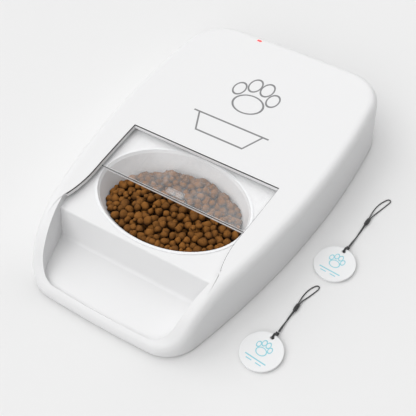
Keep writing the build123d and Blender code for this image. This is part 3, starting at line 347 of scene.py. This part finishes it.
def clear_plastic(settings):
    """Hazy clear lid, with painted shade on its rounded edges and in a line behind its front edge,
    and painted highlights behind that line and on the grip's ribs.
    """
    finish = Finish("Lid_clear", LID_TINT, 0.08, IOR=1.49)
    flat = finish.facing()[2].size()
    across, along = finish.axes()[:2]
    upright = 1 - flat.rise(0.25, 0.5)
    # painted shade on the lid's rounded edges
    painted_edge_shade = (1 - flat.rise(0.80, 0.97)) * (1 - upright)
    behind = along - LID_FRONT
    # painted shade: the rounded edges and a line behind the front edge are made dark and nearly
    # opaque
    line = painted_edge_shade.most((behind > LID_LINE_FROM) * (behind < LID_LINE_TO))
    # painted highlight: a bright band just behind the lid's painted dark line
    painted_highlight = (behind > LID_LINE_TO) * (behind < LID_GLINT_TO)
    rows = (behind - GRIP_FROM) / GRIP_PITCH
    grip = (across.size() < GRIP_HALF_WIDTH) * (rows > 0.0) * (rows < GRIP_ROWS)
    ribs = rows.past_whole() > 0.45
    # painted highlight on the grip's ribs
    painted_highlight = painted_highlight.most(grip * ribs * 0.55)
    smear = finish.grain(60, 4).rise(0.35, 0.75)
    wiped = finish.stretched((1, 0.06, 1), (0, 0, 0.3))
    scratch = finish.grain(260, 1, vector=wiped).rise(0.60, 0.72)
    haze = settings.lid_haze + smear * 0.05 + scratch * 0.03
    alpha = haze.most(upright * 0.75).most(painted_highlight * 0.45).most(line * 0.80)
    # the painted shade gets a near-black colour here
    finish.put(Alpha=alpha, Roughness=0.07 + smear * 0.10,
               Base_Color=finish.blend(line, LID_TINT, (0.03, 0.03, 0.033)))
    return finish.relief(finish.grain(18, 1), 0.02 * MM)


def kibble_crust(settings):
    """Baked, slightly oily crust with pits, crumbs and pale flour, and painted shade that darkens
    each lump towards its underside.
    """
    colour = tuple(settings.food_colour)
    finish = Finish("Kibble_crust", colour, 0.75, Specular_IOR_Level=0.16)
    pieces = finish.node("ShaderNodeAttribute", {"attribute_name": "tone"}, "Fac")
    painted_shade_height = finish.node("ShaderNodeAttribute", {"attribute_name": "painted_shade_height"}, "Fac")
    lumps = finish.grain(420, 4, 0.6)
    crumbs = finish.grain(1500, 3, 0.65)
    tone = pieces * 0.30 + lumps * 0.5 + crumbs * 0.5
    baked = finish.blend(tone.rise(0.35, 0.85), shade(colour, 0.55), colour)
    crust = finish.blend(crumbs.rise(0.60, 0.80) * 0.35, baked, (0.46, 0.215, 0.06))
    # painted shade: each lump is darkened towards its underside, following the height stored on its
    # vertices
    crust = finish.blend(painted_shade_height.rise(-0.2, 0.9), (0.022, 0.007, 0.0015), crust)
    finish.put(Base_Color=crust, Roughness=0.85 - lumps * 0.2)
    return finish.relief(lumps * 0.7 + crumbs * 0.45, 0.55 * MM)


def metal(name, colour, roughness, brushed=(1, 1, 1)):
    """Drawn or turned metal with fine lines and a few dull spots."""
    finish = Finish(name, colour, roughness, Metallic=1.0)
    lines = finish.grain(1800, 2, vector=finish.stretched(brushed))
    spots = finish.grain(160, 3)
    finish.put(Roughness=roughness + (lines - 0.5) * 0.22 + spots.rise(0.5, 0.8) * 0.12,
               Base_Color=finish.blend(spots.rise(0.35, 0.8), colour, shade(colour, 0.78)))
    return finish.relief(lines, 0.006 * MM)


def rubber(name, colour):
    """Soft dusty rubber with a pebbled skin."""
    finish = Finish(name, colour, 0.8, Specular_IOR_Level=0.3)
    pebble = finish.cells(1400)
    dust = finish.grain(240, 4).rise(0.45, 0.8)
    finish.put(Base_Color=finish.blend(dust * 0.3, colour, (0.35, 0.34, 0.33)),
               Roughness=0.72 + dust * 0.15)
    return finish.relief(pebble, 0.03 * MM)


def solder_mask(name, turn=(0, 0, 0)):
    """Green board with copper tracks under the lacquer and tinned pads."""
    finish = Finish(name, (0.015, 0.12, 0.045), 0.32, Coat_Weight=0.3)
    flat = finish.stretched(turn=turn)
    along = finish.axes(flat)[1]
    rows = (along * 2600).wave().rise(0.55, 0.85)
    gaps = finish.grain(120, 1, vector=finish.stretched((1, 0.2, 1), turn)).rise(0.45, 0.5)
    pads = 1 - finish.cells(330, vector=flat).rise(0.16, 0.22)
    tracks = finish.blend(rows * gaps * 0.6, (0.012, 0.10, 0.04), (0.05, 0.26, 0.09))
    finish.put(Base_Color=finish.blend(pads, tracks, (0.62, 0.60, 0.56)), Metallic=pads)
    return finish.relief(rows * gaps + pads, 0.035 * MM)


def chip_black(name):
    """Moulded epoxy of chips and switches, with a fine matt grain."""
    finish = Finish(name, (0.025, 0.025, 0.028), 0.55)
    speck = finish.grain(2600, 2)
    epoxy = finish.blend(speck.rise(0.5, 0.8), (0.02, 0.02, 0.022), (0.06, 0.06, 0.065))
    finish.put(Base_Color=epoxy, Roughness=0.48 + speck * 0.16)
    return finish.relief(speck, 0.02 * MM)


def winding(name):
    """Enamelled copper wire wound in close turns."""
    finish = Finish(name, (0.62, 0.26, 0.10), 0.28, Metallic=1.0, Coat_Weight=0.6)
    up = finish.axes()[2]
    turns = (up * 17000).wave()
    finish.put(Base_Color=finish.blend(turns.rise(-0.6, 0.6), (0.30, 0.10, 0.035),
                                       (0.72, 0.33, 0.13)))
    return finish.relief(turns, 0.12 * MM)


CELL_LENGTH = 50.0 * MM


def cell_sleeve(name):
    """Printed sleeve of a battery cell with bare metal ends."""
    finish = Finish(name, (0.03, 0.035, 0.05), 0.35)
    across = finish.axes()[0]
    reach = across.size()
    end = reach.rise(47.5 * MM, 47.7 * MM).most(1 - reach.rise(1.2 * MM, 1.4 * MM))
    band = (across / CELL_LENGTH).past_whole().rise(0.70, 0.705)
    sleeve = finish.blend(band, (0.025, 0.03, 0.045), (0.55, 0.30, 0.05))
    finish.put(Base_Color=finish.blend(end, sleeve, (0.70, 0.70, 0.71)), Metallic=end,
               Roughness=finish.grain(300, 3) * 0.2 + 0.22)
    return finish.relief(finish.grain(700, 2), 0.01 * MM)


def tag_plastic(settings, number, middle, turn):
    """White tag with a small printed paw over a line, laid out round the tag's own middle."""
    finish = moulded(f"Tag_{number}_plastic", (0.765, 0.77, 0.775), 0.36, 0.25 * MM, 0.006 * MM,
                     0.02)
    x, y = middle
    cos, sin = math.cos(turn), math.sin(turn)
    across, along = finish.axes()[:2]
    u = (across - x) * cos + (along - y) * sin
    v = (along - y) * cos - (across - x) * sin
    edge = 0.16 * MM
    paw = paw_mark(u, v, 0.0, 1.6 * MM, 14.5 * MM, 0.85 * MM, edge)
    line = 1 - bar(u, v, 0.0, -8.0 * MM, 9.5 * MM, 0.5 * MM).rise(-edge, edge)
    dots = 1 - bar(u.size(), v, 4.4 * MM, -10.6 * MM, 2.6 * MM, 0.42 * MM).rise(-edge, edge)
    ink = paw.most(line).most(dots) * (finish.facing()[2] > 0.9)
    finish.put(Base_Color=finish.blend(ink * 0.82, finish.colour_so_far(), settings.print_colour))
    return finish


def braid(name):
    """Fine black braided cord."""
    finish = Finish(name, (0.012, 0.012, 0.013), 0.62, Sheen_Weight=0.25)
    across, along = finish.axes()[:2]
    first = ((along + across * 0.8) * 7000).wave()
    second = ((along - across * 0.8) * 7000).wave()
    strands = first.most(second)
    finish.put(Base_Color=finish.blend(strands.rise(-0.2, 0.9), (0.004, 0.004, 0.004),
                                       (0.03, 0.03, 0.032)))
    return finish.relief(strands, 0.12 * MM)


def dress(finish, *names):
    """Gives CAD nodes a finish through their own material slots."""
    for name in names:
        for slot in NODES[name].material_slots:
            slot.material = finish.material


# ---------------------------------------------------------------- making pieces
def mesh_object(name, bm, finish):
    """Turns a bmesh into an object with a finish."""
    mesh = bpy.data.meshes.new(name)
    bm.to_mesh(mesh)
    bm.free()
    mesh.materials.append(finish.material)
    piece = bpy.data.objects.new(name, mesh)
    bpy.context.scene.collection.objects.link(piece)
    return piece


def cord_curve(name, routes, radius, closed, resolution):
    """Curve data of round cords, with one smooth spline along each route."""
    curve = bpy.data.curves.new(name, "CURVE")
    curve.dimensions = "3D"
    for route in routes:
        spline = curve.splines.new("NURBS")
        spline.points.add(len(route) - 1)
        for point, place in zip(spline.points, route):
            point.co = (*place, 1)
        spline.order_u = 3
        spline.use_cyclic_u = closed
        spline.use_endpoint_u = not closed
        spline.resolution_u = resolution
    curve.bevel_depth = radius
    curve.bevel_resolution = 3
    curve.use_fill_caps = True
    return curve


def cord_piece(name, routes, radius, finish, body, closed=False, resolution=10):
    """A finished cord, or cords, that ride on a body."""
    curve = cord_curve(name, routes, radius, closed, resolution)
    piece = bpy.data.objects.new(name, curve)
    bpy.context.scene.collection.objects.link(piece)
    curve.materials.append(finish.material)
    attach(piece, body)
    return piece


def sampled(route):
    """Points along the smooth line through a route."""
    curve = cord_curve("line", [route], 0, False, 10)
    holder = bpy.data.objects.new("line", curve)
    bpy.context.scene.collection.objects.link(holder)
    bpy.context.view_layer.update()
    mesh = bpy.data.meshes.new_from_object(holder)
    points = [vertex.co.copy() for vertex in mesh.vertices]
    bpy.data.objects.remove(holder)
    bpy.data.meshes.remove(mesh)
    bpy.data.curves.remove(curve)
    return points


def in_mm(points):
    return [tuple(value * MM for value in point) for point in points]


# ---------------------------------------------------------------- collar tags
TAG_R = 17.4 * MM
TAG_TILT = math.radians(5)
TAG_HOLE_REACH = 14.0 * MM
HITCH_REACH = 2.4 * MM
HITCH_STEPS = 12                 # points in one turn of the hitch
TETHER_TWIST = math.radians(150)
BARREL_TURNS, BARREL_STEPS = 6, 8


class TagLayout:
    """Where a tag lies and how its cord runs."""

    def __init__(self, number, middle, turn, tether, barrel, loop):
        self.number = number
        self.body = f"tag_{number}"
        self.middle = tuple(value * MM for value in middle)
        self.turn = math.radians(turn)
        self.tether = in_mm(tether)
        self.barrel = in_mm(barrel)
        self.loop = in_mm(loop)
        spin = Matrix.Rotation(self.turn, 4, "Z")
        tilt = Matrix.Rotation(TAG_TILT, 4, "X")
        middle_place = Matrix.Translation((*self.middle, 0))
        self.place = middle_place @ spin @ Matrix.Translation((0, -TAG_R, 0)) @ tilt


TAGS = [
    TagLayout(
        1, (132.8, -9.4), -4.0,
        [(134.4, 13.2, 2.3), (134.5, 20.5, 1.3), (134.9, 31.5, 0.95), (135.1, 41.0, 2.05)],
        [(135.1, 41.0, 2.05), (135.3, 49.5, 2.05)],
        [(134.75, 49.5, 2.0), (133.9, 57.0, 0.9), (134.0, 64.5, 0.6), (135.3, 70.8, 0.55),
         (137.6, 76.0, 0.55), (139.2, 78.4, 0.55), (141.2, 78.6, 0.55), (142.2, 76.8, 0.55),
         (141.2, 73.4, 0.55), (139.9, 68.2, 0.55), (137.8, 60.5, 0.7), (136.3, 54.5, 1.3),
         (135.85, 49.5, 2.0)]),
    TagLayout(
        2, (124.5, -112.7), -5.5,
        [(126.7, -90.1, 2.3), (126.2, -83.2, 1.3), (126.4, -74.6, 0.95), (127.1, -67.6, 2.05)],
        [(127.1, -67.6, 2.05), (127.0, -58.9, 2.05)],
        [(126.45, -58.9, 2.0), (125.6, -52.2, 0.9), (126.0, -45.6, 0.6), (127.4, -40.2, 0.55),
         (129.4, -36.4, 0.55), (131.0, -34.9, 0.55), (132.9, -35.3, 0.55), (133.3, -37.4, 0.55),
         (132.2, -41.4, 0.55), (130.7, -46.5, 0.55), (128.9, -51.6, 0.9), (127.8, -55.4, 1.5),
         (127.55, -58.9, 2.0)]),
]


def twisted_tether(tag, radius, finish):
    """Two strands laid side by side and slowly turned about each other along the tether's line."""
    line = sampled(tag.tether)
    last = len(line) - 1
    routes = []
    for side in (-1, 1):
        route = []
        for index, here in enumerate(line):
            ahead = line[min(index + 1, last)] - line[max(index - 1, 0)]
            across = ahead.cross(Vector((0, 0, 1))).normalized()
            up = across.cross(ahead).normalized()
            turn = TETHER_TWIST * index / len(line)
            offset = (across * math.cos(turn) + up * math.sin(turn)) * radius * 0.55 * side
            route.append(here + offset)
        routes.append(route)
    return cord_piece(f"tag_{tag.number}_strands", routes, radius * 0.62, finish, tag.body,
                      resolution=12)


def barrel_knot(tag, finish):
    """Slide knot: one strand wound in close turns round the others, fuller in the middle."""
    start, end = Vector(tag.barrel[0]), Vector(tag.barrel[1])
    axis = end - start
    side = axis.cross(Vector((0, 0, 1))).normalized()
    up = side.cross(axis).normalized()
    steps = BARREL_TURNS * BARREL_STEPS
    winding_route = []
    for index in range(steps + 1):
        share = index / steps
        angle = 2 * math.pi * BARREL_TURNS * share
        swell = (0.95 + 0.38 * math.sin(math.pi * share)) * MM
        centre = start + axis * (0.08 + 0.84 * share)
        winding_route.append(centre + (side * math.cos(angle) + up * math.sin(angle)) * swell)
    core = [start + axis * 0.02, start + axis * 0.3 + up * 0.1 * MM, start + axis * 0.7,
            start + axis * 0.98]
    name = f"tag_{tag.number}_knot"
    return (cord_piece(f"{name}_turns", [winding_route], 0.62 * MM, finish, tag.body),
            cord_piece(f"{name}_core", [core], 0.95 * MM, finish, tag.body))


def rim_hitch(tag, finish):
    """Cord drawn through the tag's hole, round its rim and through itself."""
    ring_y = TAG_R + TAG_HOLE_REACH + HITCH_REACH
    knot_y = ring_y + HITCH_REACH + 2.0 * MM
    pieces = []
    for letter, side in (("a", -1), ("b", 1)):
        ring = []
        for step in range(HITCH_STEPS):
            angle = 2 * math.pi * step / HITCH_STEPS
            ring.append(tag.place @ Vector((side * 0.42 * MM, ring_y + 2.45 * MM * math.cos(angle),
                                            MM + 2.3 * MM * math.sin(angle))))
        pieces.append(cord_piece(f"tag_{tag.number}_hitch_ring_{letter}", [ring], 0.45 * MM, finish,
                                 tag.body, closed=True))
    swell = 1.15 * MM
    knot = []
    for step in range(2 * HITCH_STEPS + 1):
        angle = 2 * math.pi * step / HITCH_STEPS
        y = knot_y + 0.7 * MM * math.sin(angle * 1.5) - 0.4 * MM
        knot.append(tag.place @ Vector((swell * math.sin(angle), y,
                                        -0.9 * MM + swell * math.cos(angle))))
    pieces.append(cord_piece(f"tag_{tag.number}_hitch_knot", [knot], 0.55 * MM, finish, tag.body))
    return pieces


class FEEDER_OT_tag_cords(bpy.types.Operator):
    """Lay the collar tags' cords: hitch, twin tether, barrel knot and loop"""
    bl_idname = "feeder.tag_cords"
    bl_label = "Tag Cords"

    def execute(self, context):
        settings = context.scene.feeder
        finish = braid("Cord_black")
        radius = settings.cord_diameter / 2
        for tag in TAGS:
            number = tag.number
            loop = cord_piece(f"tag_{number}_cord_loop", [tag.loop], radius, finish, tag.body)
            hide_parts(f"tag_{number}_loop")
            strands = twisted_tether(tag, 1.5 * radius, finish)
            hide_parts(f"tag_{number}_tether")
            turns, core = barrel_knot(tag, finish)
            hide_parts(f"tag_{number}_barrel")
            hitch = rim_hitch(tag, finish)
            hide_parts(f"tag_{number}_hitch")
        return {"FINISHED"}


class FEEDER_OT_tags(bpy.types.Operator):
    """Finish the collar tags and the inlay sealed in them"""
    bl_idname = "feeder.tags"
    bl_label = "Collar Tags"

    def execute(self, context):
        settings = context.scene.feeder
        copper = winding("Inlay_copper")
        for tag in TAGS:
            middle = tag.place @ Vector((0, TAG_R, 2.0 * MM))
            finish = tag_plastic(settings, tag.number, (middle.x, middle.y), tag.turn)
            dress(finish, f"tag_{tag.number}_base", f"tag_{tag.number}_cover")
            dress(copper, f"tag_{tag.number}_inlay")
        return {"FINISHED"}


# ---------------------------------------------------------------- feeder
class FEEDER_OT_housing(bpy.types.Operator):
    """Finish the housing, cover, bowl, underside plate and battery door"""
    bl_idname = "feeder.housing"
    bl_label = "Housing"

    def execute(self, context):
        settings = context.scene.feeder
        dress(moulded("Housing_plastic", settings.shell_colour, 0.42), "base_shell")
        dress(hood_plastic(settings), "top_cover")
        dress(moulded("Bowl_plastic", settings.bowl_colour, 0.22, 0.5 * MM, 0.003 * MM, 0.02),
              "bowl")
        dress(moulded("Underside_plastic", (0.55, 0.55, 0.56), 0.6, 0.6 * MM, 0.04 * MM, 0.06),
              "base_plate", "battery_door")
        dress(moulded("Bay_plastic", (0.42, 0.42, 0.43), 0.6, 0.6 * MM, 0.03 * MM, 0.05),
              "battery_box")
        dress(rubber("Foot_rubber", (0.06, 0.06, 0.062)), "rubber_feet")
        # painted shade: the slot's trim is near-black, standing in for the shadow gap along the
        # edge of the lid's slot
        dress(rubber("Trim_rubber_shadow_gap", (0.02, 0.02, 0.021)), "slot_trim")
        dress(metal("Screw_steel", (0.58, 0.58, 0.60), 0.32, (1, 1, 0.05)), "housing_screws")
        dress(moulded("Button_plastic", (0.42, 0.43, 0.45), 0.5, 0.3 * MM, 0.02 * MM, 0.04),
              "learn_button", "lid_button")
        return {"FINISHED"}


class FEEDER_OT_lamp(bpy.types.Operator):
    """Finish the red status lamp and its light pipe"""
    bl_idname = "feeder.lamp"
    bl_label = "Status Lamp"

    def execute(self, context):
        lens = Finish("Lamp_lens", (0.80, 0.05, 0.05), 0.18, Emission_Strength=0.55)
        glow = lens.grain(700, 2)
        lens.put(Emission_Color=lens.blend(glow.rise(0.3, 0.7), (0.85, 0.02, 0.02),
                                           (1.0, 0.12, 0.10)))
        lens.relief(lens.cells(1800), 0.02 * MM)
        dress(lens, "light_pipe")
        lamp = Finish("Lamp_body", (0.80, 0.30, 0.25), 0.3)
        frost = lamp.grain(1500, 2)
        lamp.put(Base_Color=lamp.blend(frost, (0.75, 0.20, 0.16), (0.85, 0.42, 0.36)))
        dress(lamp.relief(frost, 0.02 * MM), "status_led")
        return {"FINISHED"}


class FEEDER_OT_lid(bpy.types.Operator):
    """Finish the clear sliding lid and its carriage with the rack"""
    bl_idname = "feeder.lid"
    bl_label = "Sliding Lid"

    def execute(self, context):
        settings = context.scene.feeder
        dress(clear_plastic(settings), "lid")
        NODES["lid"].visible_shadow = False
        dress(moulded("Carriage_acetal", (0.40, 0.41, 0.43), 0.38, 0.4 * MM, 0.01 * MM, 0.04),
              "lid_carriage")
        return {"FINISHED"}


class FEEDER_OT_drive(bpy.types.Operator):
    """Finish the gears, motor, chassis, rails and switches under the hood"""
    bl_idname = "feeder.drive"
    bl_label = "Drive"

    def execute(self, context):
        dress(moulded("Gear_acetal", (0.72, 0.70, 0.64), 0.35, 0.3 * MM, 0.008 * MM, 0.04),
              "drive_gear")
        dress(metal("Axle_steel", (0.62, 0.62, 0.64), 0.2, (1, 1, 0.05)), "gear_axle")
        dress(metal("Pinion_brass", (0.70, 0.50, 0.20), 0.28, (1, 1, 0.05)), "motor_pinion")
        dress(metal("Motor_can", (0.60, 0.60, 0.61), 0.36, (1, 1, 0.08)), "drive_motor")
        dress(moulded("Chassis_plastic", (0.035, 0.035, 0.038), 0.55, 0.5 * MM, 0.04 * MM, 0.2),
              "chassis", "guide_rail_left", "guide_rail_right")
        dress(chip_black("Switch_black"), "limit_switches")
        return {"FINISHED"}


class FEEDER_OT_electronics(bpy.types.Operator):
    """Finish the boards, chips, reader winding, cells and contacts"""
    bl_idname = "feeder.electronics"
    bl_label = "Electronics"

    def execute(self, context):
        dress(solder_mask("Board_level"), "circuit_board")
        dress(solder_mask("Board_upright", (math.radians(90), 0, 0)), "button_board")
        dress(chip_black("Chip_epoxy"), "board_components", "button_switches")
        dress(moulded("Former_plastic", (0.36, 0.37, 0.38), 0.5, 0.4 * MM, 0.02 * MM, 0.05),
              "coil_former")
        dress(winding("Reader_copper"), "antenna_coil")
        dress(cell_sleeve("Cell_sleeve"), "battery_cells")
        dress(metal("Contact_nickel", (0.72, 0.71, 0.68), 0.25), "battery_contacts")
        return {"FINISHED"}


# ---------------------------------------------------------------- dry food
HEAP_X = 4.6 * MM                # the heap leans to the front and right of the bowl
HEAP_Y = BOWL_Y - 8.8 * MM
HEAP_HALF_X = 58.0 * MM
HEAP_HALF_Y = 43.0 * MM
HEAP_TOP = 0.4 * MM              # crests of the top layer, from the deck plane
HEAP_DOME = 4.6 * MM             # the heap's edge lies this much lower than its middle
HEAP_RIPPLE = 1.5 * MM
HEAP_LIFT = (-1.8, 1.4)          # how far, in mm, one lump may stand off the heap's surface
HEAP_SHOULDER = 0.93             # share of the heap's reach past which its bare sides fall
HEAP_FALL = 1.1                  # slope of the heap's bare sides
BOWL_DEPTH = 29.4 * MM
BOWL_SHRINK = 12.4 * MM          # how far the bowl's wall comes in over that depth
SIZE_SPREAD = 0.14               # usual spread of the lumps' sizes, and its limits
SIZE_LIMITS = (0.7, 1.35)
BROKEN_SHARE, BROKEN_SIZE = 0.16, 0.6
SETTLE_STEPS = 150
PAIRS_EVERY = 10                 # steps between looks for lumps that lie near each other
RISE = 0.05 * MM                 # drift of each step towards the heap's surface
GIVE = 0.47                      # share of an overlap by which each lump gives way
LUMP_FLATS, FLAT_REACH, FLAT_DEPTH = 7, 0.72, 0.85
LUMP_SIZE = 1.04                 # what the flats take off is made up for by this and the next
LUMP_FULLNESS = 1.02
LUMP_BULGES = ((1.1, 0.26), (2.6, 0.13))     # how fine each is, and how deep


def settle_food(count, usual, seed=7):
    """Centres and radii of lumps packed into the bowl under the heap's surface."""
    dice = np.random.default_rng(seed)
    radii = usual / 2 * dice.normal(1.0, SIZE_SPREAD, count).clip(*SIZE_LIMITS)
    radii[dice.random(count) < BROKEN_SHARE] *= BROKEN_SIZE
    place = np.empty((count, 3))
    place[:, 0] = HEAP_X + HEAP_HALF_X * 0.95 * dice.uniform(-1, 1, count)
    place[:, 1] = HEAP_Y + HEAP_HALF_Y * 0.95 * dice.uniform(-1, 1, count)
    place[:, 2] = -dice.uniform(0.1, 0.95, count) * BOWL_DEPTH
    lift = dice.uniform(*HEAP_LIFT, count) * MM
    pairs = np.triu_indices(count, 1)
    for step in range(SETTLE_STEPS):
        if step % PAIRS_EVERY == 0:
            near = apart(place, radii, *pairs)[0] < usual / 2
            rows, columns = (side[near] for side in pairs)
        place[:, 2] += RISE
        room, gap, length = apart(place, radii, rows, columns)
        close = room < 0
        push = (-room[close] / length[close] * GIVE)[:, None] * gap[close]
        np.subtract.at(place, rows[close], push)
        np.add.at(place, columns[close], push)
        keep_in_bowl(place, radii, lift)
    return place, radii


def apart(place, radii, rows, columns):
    """Room between pairs of lumps, and the line from one middle to the other with its length."""
    gap = place[columns] - place[rows]
    length = np.sqrt((gap ** 2).sum(1)) + 1e-9
    return length - radii[rows] - radii[columns], gap, length


def keep_in_bowl(place, radii, lift):
    """Moves lumps back inside the bowl's wall and floor, and under the heap's surface."""
    place[:, 2] = np.maximum(place[:, 2], -BOWL_DEPTH + radii)
    inset = BOWL_SHRINK * -place[:, 2] / BOWL_DEPTH + radii
    across = place[:, 0] / (MOUTH_X - inset)
    along = (place[:, 1] - BOWL_Y) / (MOUTH_Y - inset)
    outside = np.sqrt(across ** 2 + along ** 2)
    over = outside > 1
    place[over, 0] /= outside[over]
    place[over, 1] = BOWL_Y + (place[over, 1] - BOWL_Y) / outside[over]
    from_middle = np.hypot((place[:, 0] - HEAP_X) / HEAP_HALF_X,
                           (place[:, 1] - HEAP_Y) / HEAP_HALF_Y)
    beyond = np.clip(from_middle - HEAP_SHOULDER, 0, 1) * HEAP_HALF_Y
    ripple = (np.sin(place[:, 0] / (8 * MM)) * np.cos(place[:, 1] / (6 * MM) + 1) - 1) * HEAP_RIPPLE
    surface = HEAP_TOP + lift + ripple - HEAP_DOME * from_middle ** 2 - HEAP_FALL * beyond
    place[:, 2] = np.minimum(place[:, 2], surface - radii)


def shape_lump(bm, dice, centre, radius, tone, painted_shade_height):
    """Adds one lump: a ball, squashed and turned, with flats and bulges."""
    squat = (dice.uniform(0.92, 1.12), dice.uniform(0.92, 1.08), dice.uniform(0.84, 1.0))
    angle = dice.uniform(0, 6.28)
    turn = Matrix.Rotation(angle, 4, Vector((dice.uniform(-1, 1), dice.uniform(-1, 1), 0.3)))
    where = DECK @ Matrix.Translation(centre) @ turn @ Matrix.Diagonal((*squat, 1))
    lump = bmesh.ops.create_icosphere(bm, subdivisions=2, radius=radius * LUMP_SIZE, matrix=where)
    shift = Vector((dice.uniform(-9, 9), dice.uniform(-9, 9), dice.uniform(-9, 9)))
    darkness = dice.random()
    heart = DECK @ Vector(centre)
    flats = [Vector((dice.gauss(0, 1), dice.gauss(0, 1), dice.gauss(0, 1))).normalized()
             for flat in range(LUMP_FLATS)]
    for vertex in lump["verts"]:
        out = vertex.co - heart
        for flat in flats:
            over = out.dot(flat) - radius * FLAT_REACH
            if over > 0:
                out -= flat * over * FLAT_DEPTH
        bulge = sum(noise.noise(out / radius * fineness + shift) * depth
                    for fineness, depth in LUMP_BULGES)
        vertex.co = heart + out * (LUMP_FULLNESS + bulge)
        vertex[tone] = darkness
        # height in the lump, which the painted shade on its underside follows
        vertex[painted_shade_height] = out.dot(DECK_UP) / radius


class FEEDER_OT_food(bpy.types.Operator):
    """Fill the bowl with lumpy dry food, heaped to the front"""
    bl_idname = "feeder.food"
    bl_label = "Dry Food"

    def execute(self, context):
        settings = context.scene.feeder
        place, radii = settle_food(settings.food_count, settings.food_size)
        dice = random.Random(11)
        bm = bmesh.new()
        tone = bm.verts.layers.float.new("tone")
        # height in each lump, for the painted shade on the lumps' undersides
        painted_shade_height = bm.verts.layers.float.new("painted_shade_height")
        for centre, radius in zip(place, radii):
            shape_lump(bm, dice, centre, radius, tone, painted_shade_height)
        food = mesh_object("kibble_heap", bm, kibble_crust(settings))
        food.data.shade_smooth()
        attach(food, "housing")
        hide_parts("dry_food")
        return {"FINISHED"}


# ---------------------------------------------------------------- stage
FLOOR_REACH = 6.0                # metres from the middle to the floor's sides
FLOOR_GREY, FLOOR_SPECK = 0.77, 0.004
ROOM_LIGHT = 0.205               # even light from all round
ROOM_SEEN = 0.87                 # brightness of the room itself, where it is seen or mirrored
SOFTBOX_SPREAD = math.radians(60)
VIEW_TARGET = Vector((8.97, -10.863, 0)) * MM
VIEW_ROLL = math.radians(-3.438)
LENS, SENSOR = 76.87, 36


class FEEDER_OT_stage(bpy.types.Operator):
    """Set the floor, the soft lamps, the backdrop and the camera"""
    bl_idname = "feeder.stage"
    bl_label = "Studio"

    def execute(self, context):
        settings = context.scene.feeder
        self.lay_floor()
        self.light(settings)
        self.aim_camera(context, settings)
        context.scene.view_settings.view_transform = "Standard"
        return {"FINISHED"}

    def lay_floor(self):
        bm = bmesh.new()
        bmesh.ops.create_grid(bm, x_segments=1, y_segments=1, size=FLOOR_REACH)
        finish = Finish("Floor_paper", (FLOOR_GREY,) * 3, 0.95, Specular_IOR_Level=0.1)
        fibres = finish.grain(900, 3)
        finish.put(Base_Color=finish.blend(fibres, (FLOOR_GREY - FLOOR_SPECK,) * 3,
                                           (FLOOR_GREY + FLOOR_SPECK,) * 3))
        mesh_object("studio_floor", bm, finish)

    def light(self, settings):
        world = bpy.data.worlds.new("Studio")
        bpy.context.scene.world = world
        world.use_nodes = True
        tree = world.node_tree
        path = tree.nodes.new("ShaderNodeLightPath")
        camera, glossy, through = (Field(tree, path.outputs[f"Is {kind} Ray"])
                                   for kind in ("Camera", "Glossy", "Transmission"))
        seen = camera.most(glossy).most(through)
        background = tree.nodes["Background"]
        background.inputs["Color"].default_value = (1, 1, 1, 1)
        plug(tree, background.inputs["Strength"], ROOM_LIGHT + seen * (ROOM_SEEN - ROOM_LIGHT))
        softboxes = (("Front_softbox", settings.front_strength, (0, -1, 1)),
                     ("Left_softbox", settings.left_strength, (-1, 0, 1)),
                     ("Rear_softbox", settings.rear_strength, (0, 1, 1)))
        for name, strength, towards in softboxes:
            lamp = bpy.data.lights.new(name, "SUN")
            lamp.energy = strength
            lamp.angle = SOFTBOX_SPREAD
            holder = bpy.data.objects.new(name, lamp)
            bpy.context.scene.collection.objects.link(holder)
            holder.rotation_euler = Vector(towards).to_track_quat("Z", "Y").to_euler()

    def aim_camera(self, context, settings):
        """Camera at the viewing angle, with its slight roll."""
        azimuth, elevation = settings.camera_azimuth, settings.camera_elevation
        back = Vector((math.sin(azimuth) * math.cos(elevation),
                       -math.cos(azimuth) * math.cos(elevation), math.sin(elevation)))
        right = Vector((math.cos(azimuth), math.sin(azimuth), 0))
        up = back.cross(right)
        turn = Matrix((right, up, back)).transposed().to_4x4()
        data = bpy.data.cameras.new("Camera")
        data.sensor_width = SENSOR
        data.lens = LENS
        data.clip_start = 0.02
        camera = bpy.data.objects.new("Camera", data)
        context.scene.collection.objects.link(camera)
        place = Matrix.Translation(VIEW_TARGET + back * settings.camera_distance)
        camera.matrix_world = place @ turn @ Matrix.Rotation(VIEW_ROLL, 4, "Z")
        context.scene.camera = camera


# ---------------------------------------------------------------- add-on
class FEEDER_PT_panel(bpy.types.Panel):
    """Lists the feeder's pieces and settings in the sidebar"""
    bl_idname = "FEEDER_PT_panel"
    bl_label = "Pet Feeder"
    bl_space_type = "VIEW_3D"
    bl_region_type = "UI"
    bl_category = "Feeder"

    def draw(self, context):
        for operator in OPERATORS:
            self.layout.operator(operator.bl_idname)
        for name in FeederSettings.__annotations__:
            self.layout.prop(context.scene.feeder, name)


OPERATORS = (FEEDER_OT_stage, FEEDER_OT_tag_cords, FEEDER_OT_tags, FEEDER_OT_housing,
             FEEDER_OT_lamp, FEEDER_OT_lid, FEEDER_OT_drive, FEEDER_OT_electronics,
             FEEDER_OT_food)
CLASSES = (FeederSettings, *OPERATORS, FEEDER_PT_panel)


def register():
    for cls in CLASSES:
        bpy.utils.register_class(cls)
    bpy.types.Scene.feeder = bpy.props.PointerProperty(type=FeederSettings)


def unregister():
    del bpy.types.Scene.feeder
    for cls in reversed(CLASSES):
        bpy.utils.unregister_class(cls)


def main():
    register()
    for operator in OPERATORS:
        group, name = operator.bl_idname.split(".")
        getattr(getattr(bpy.ops, group), name)()


if __name__ == "__main__":
    main()
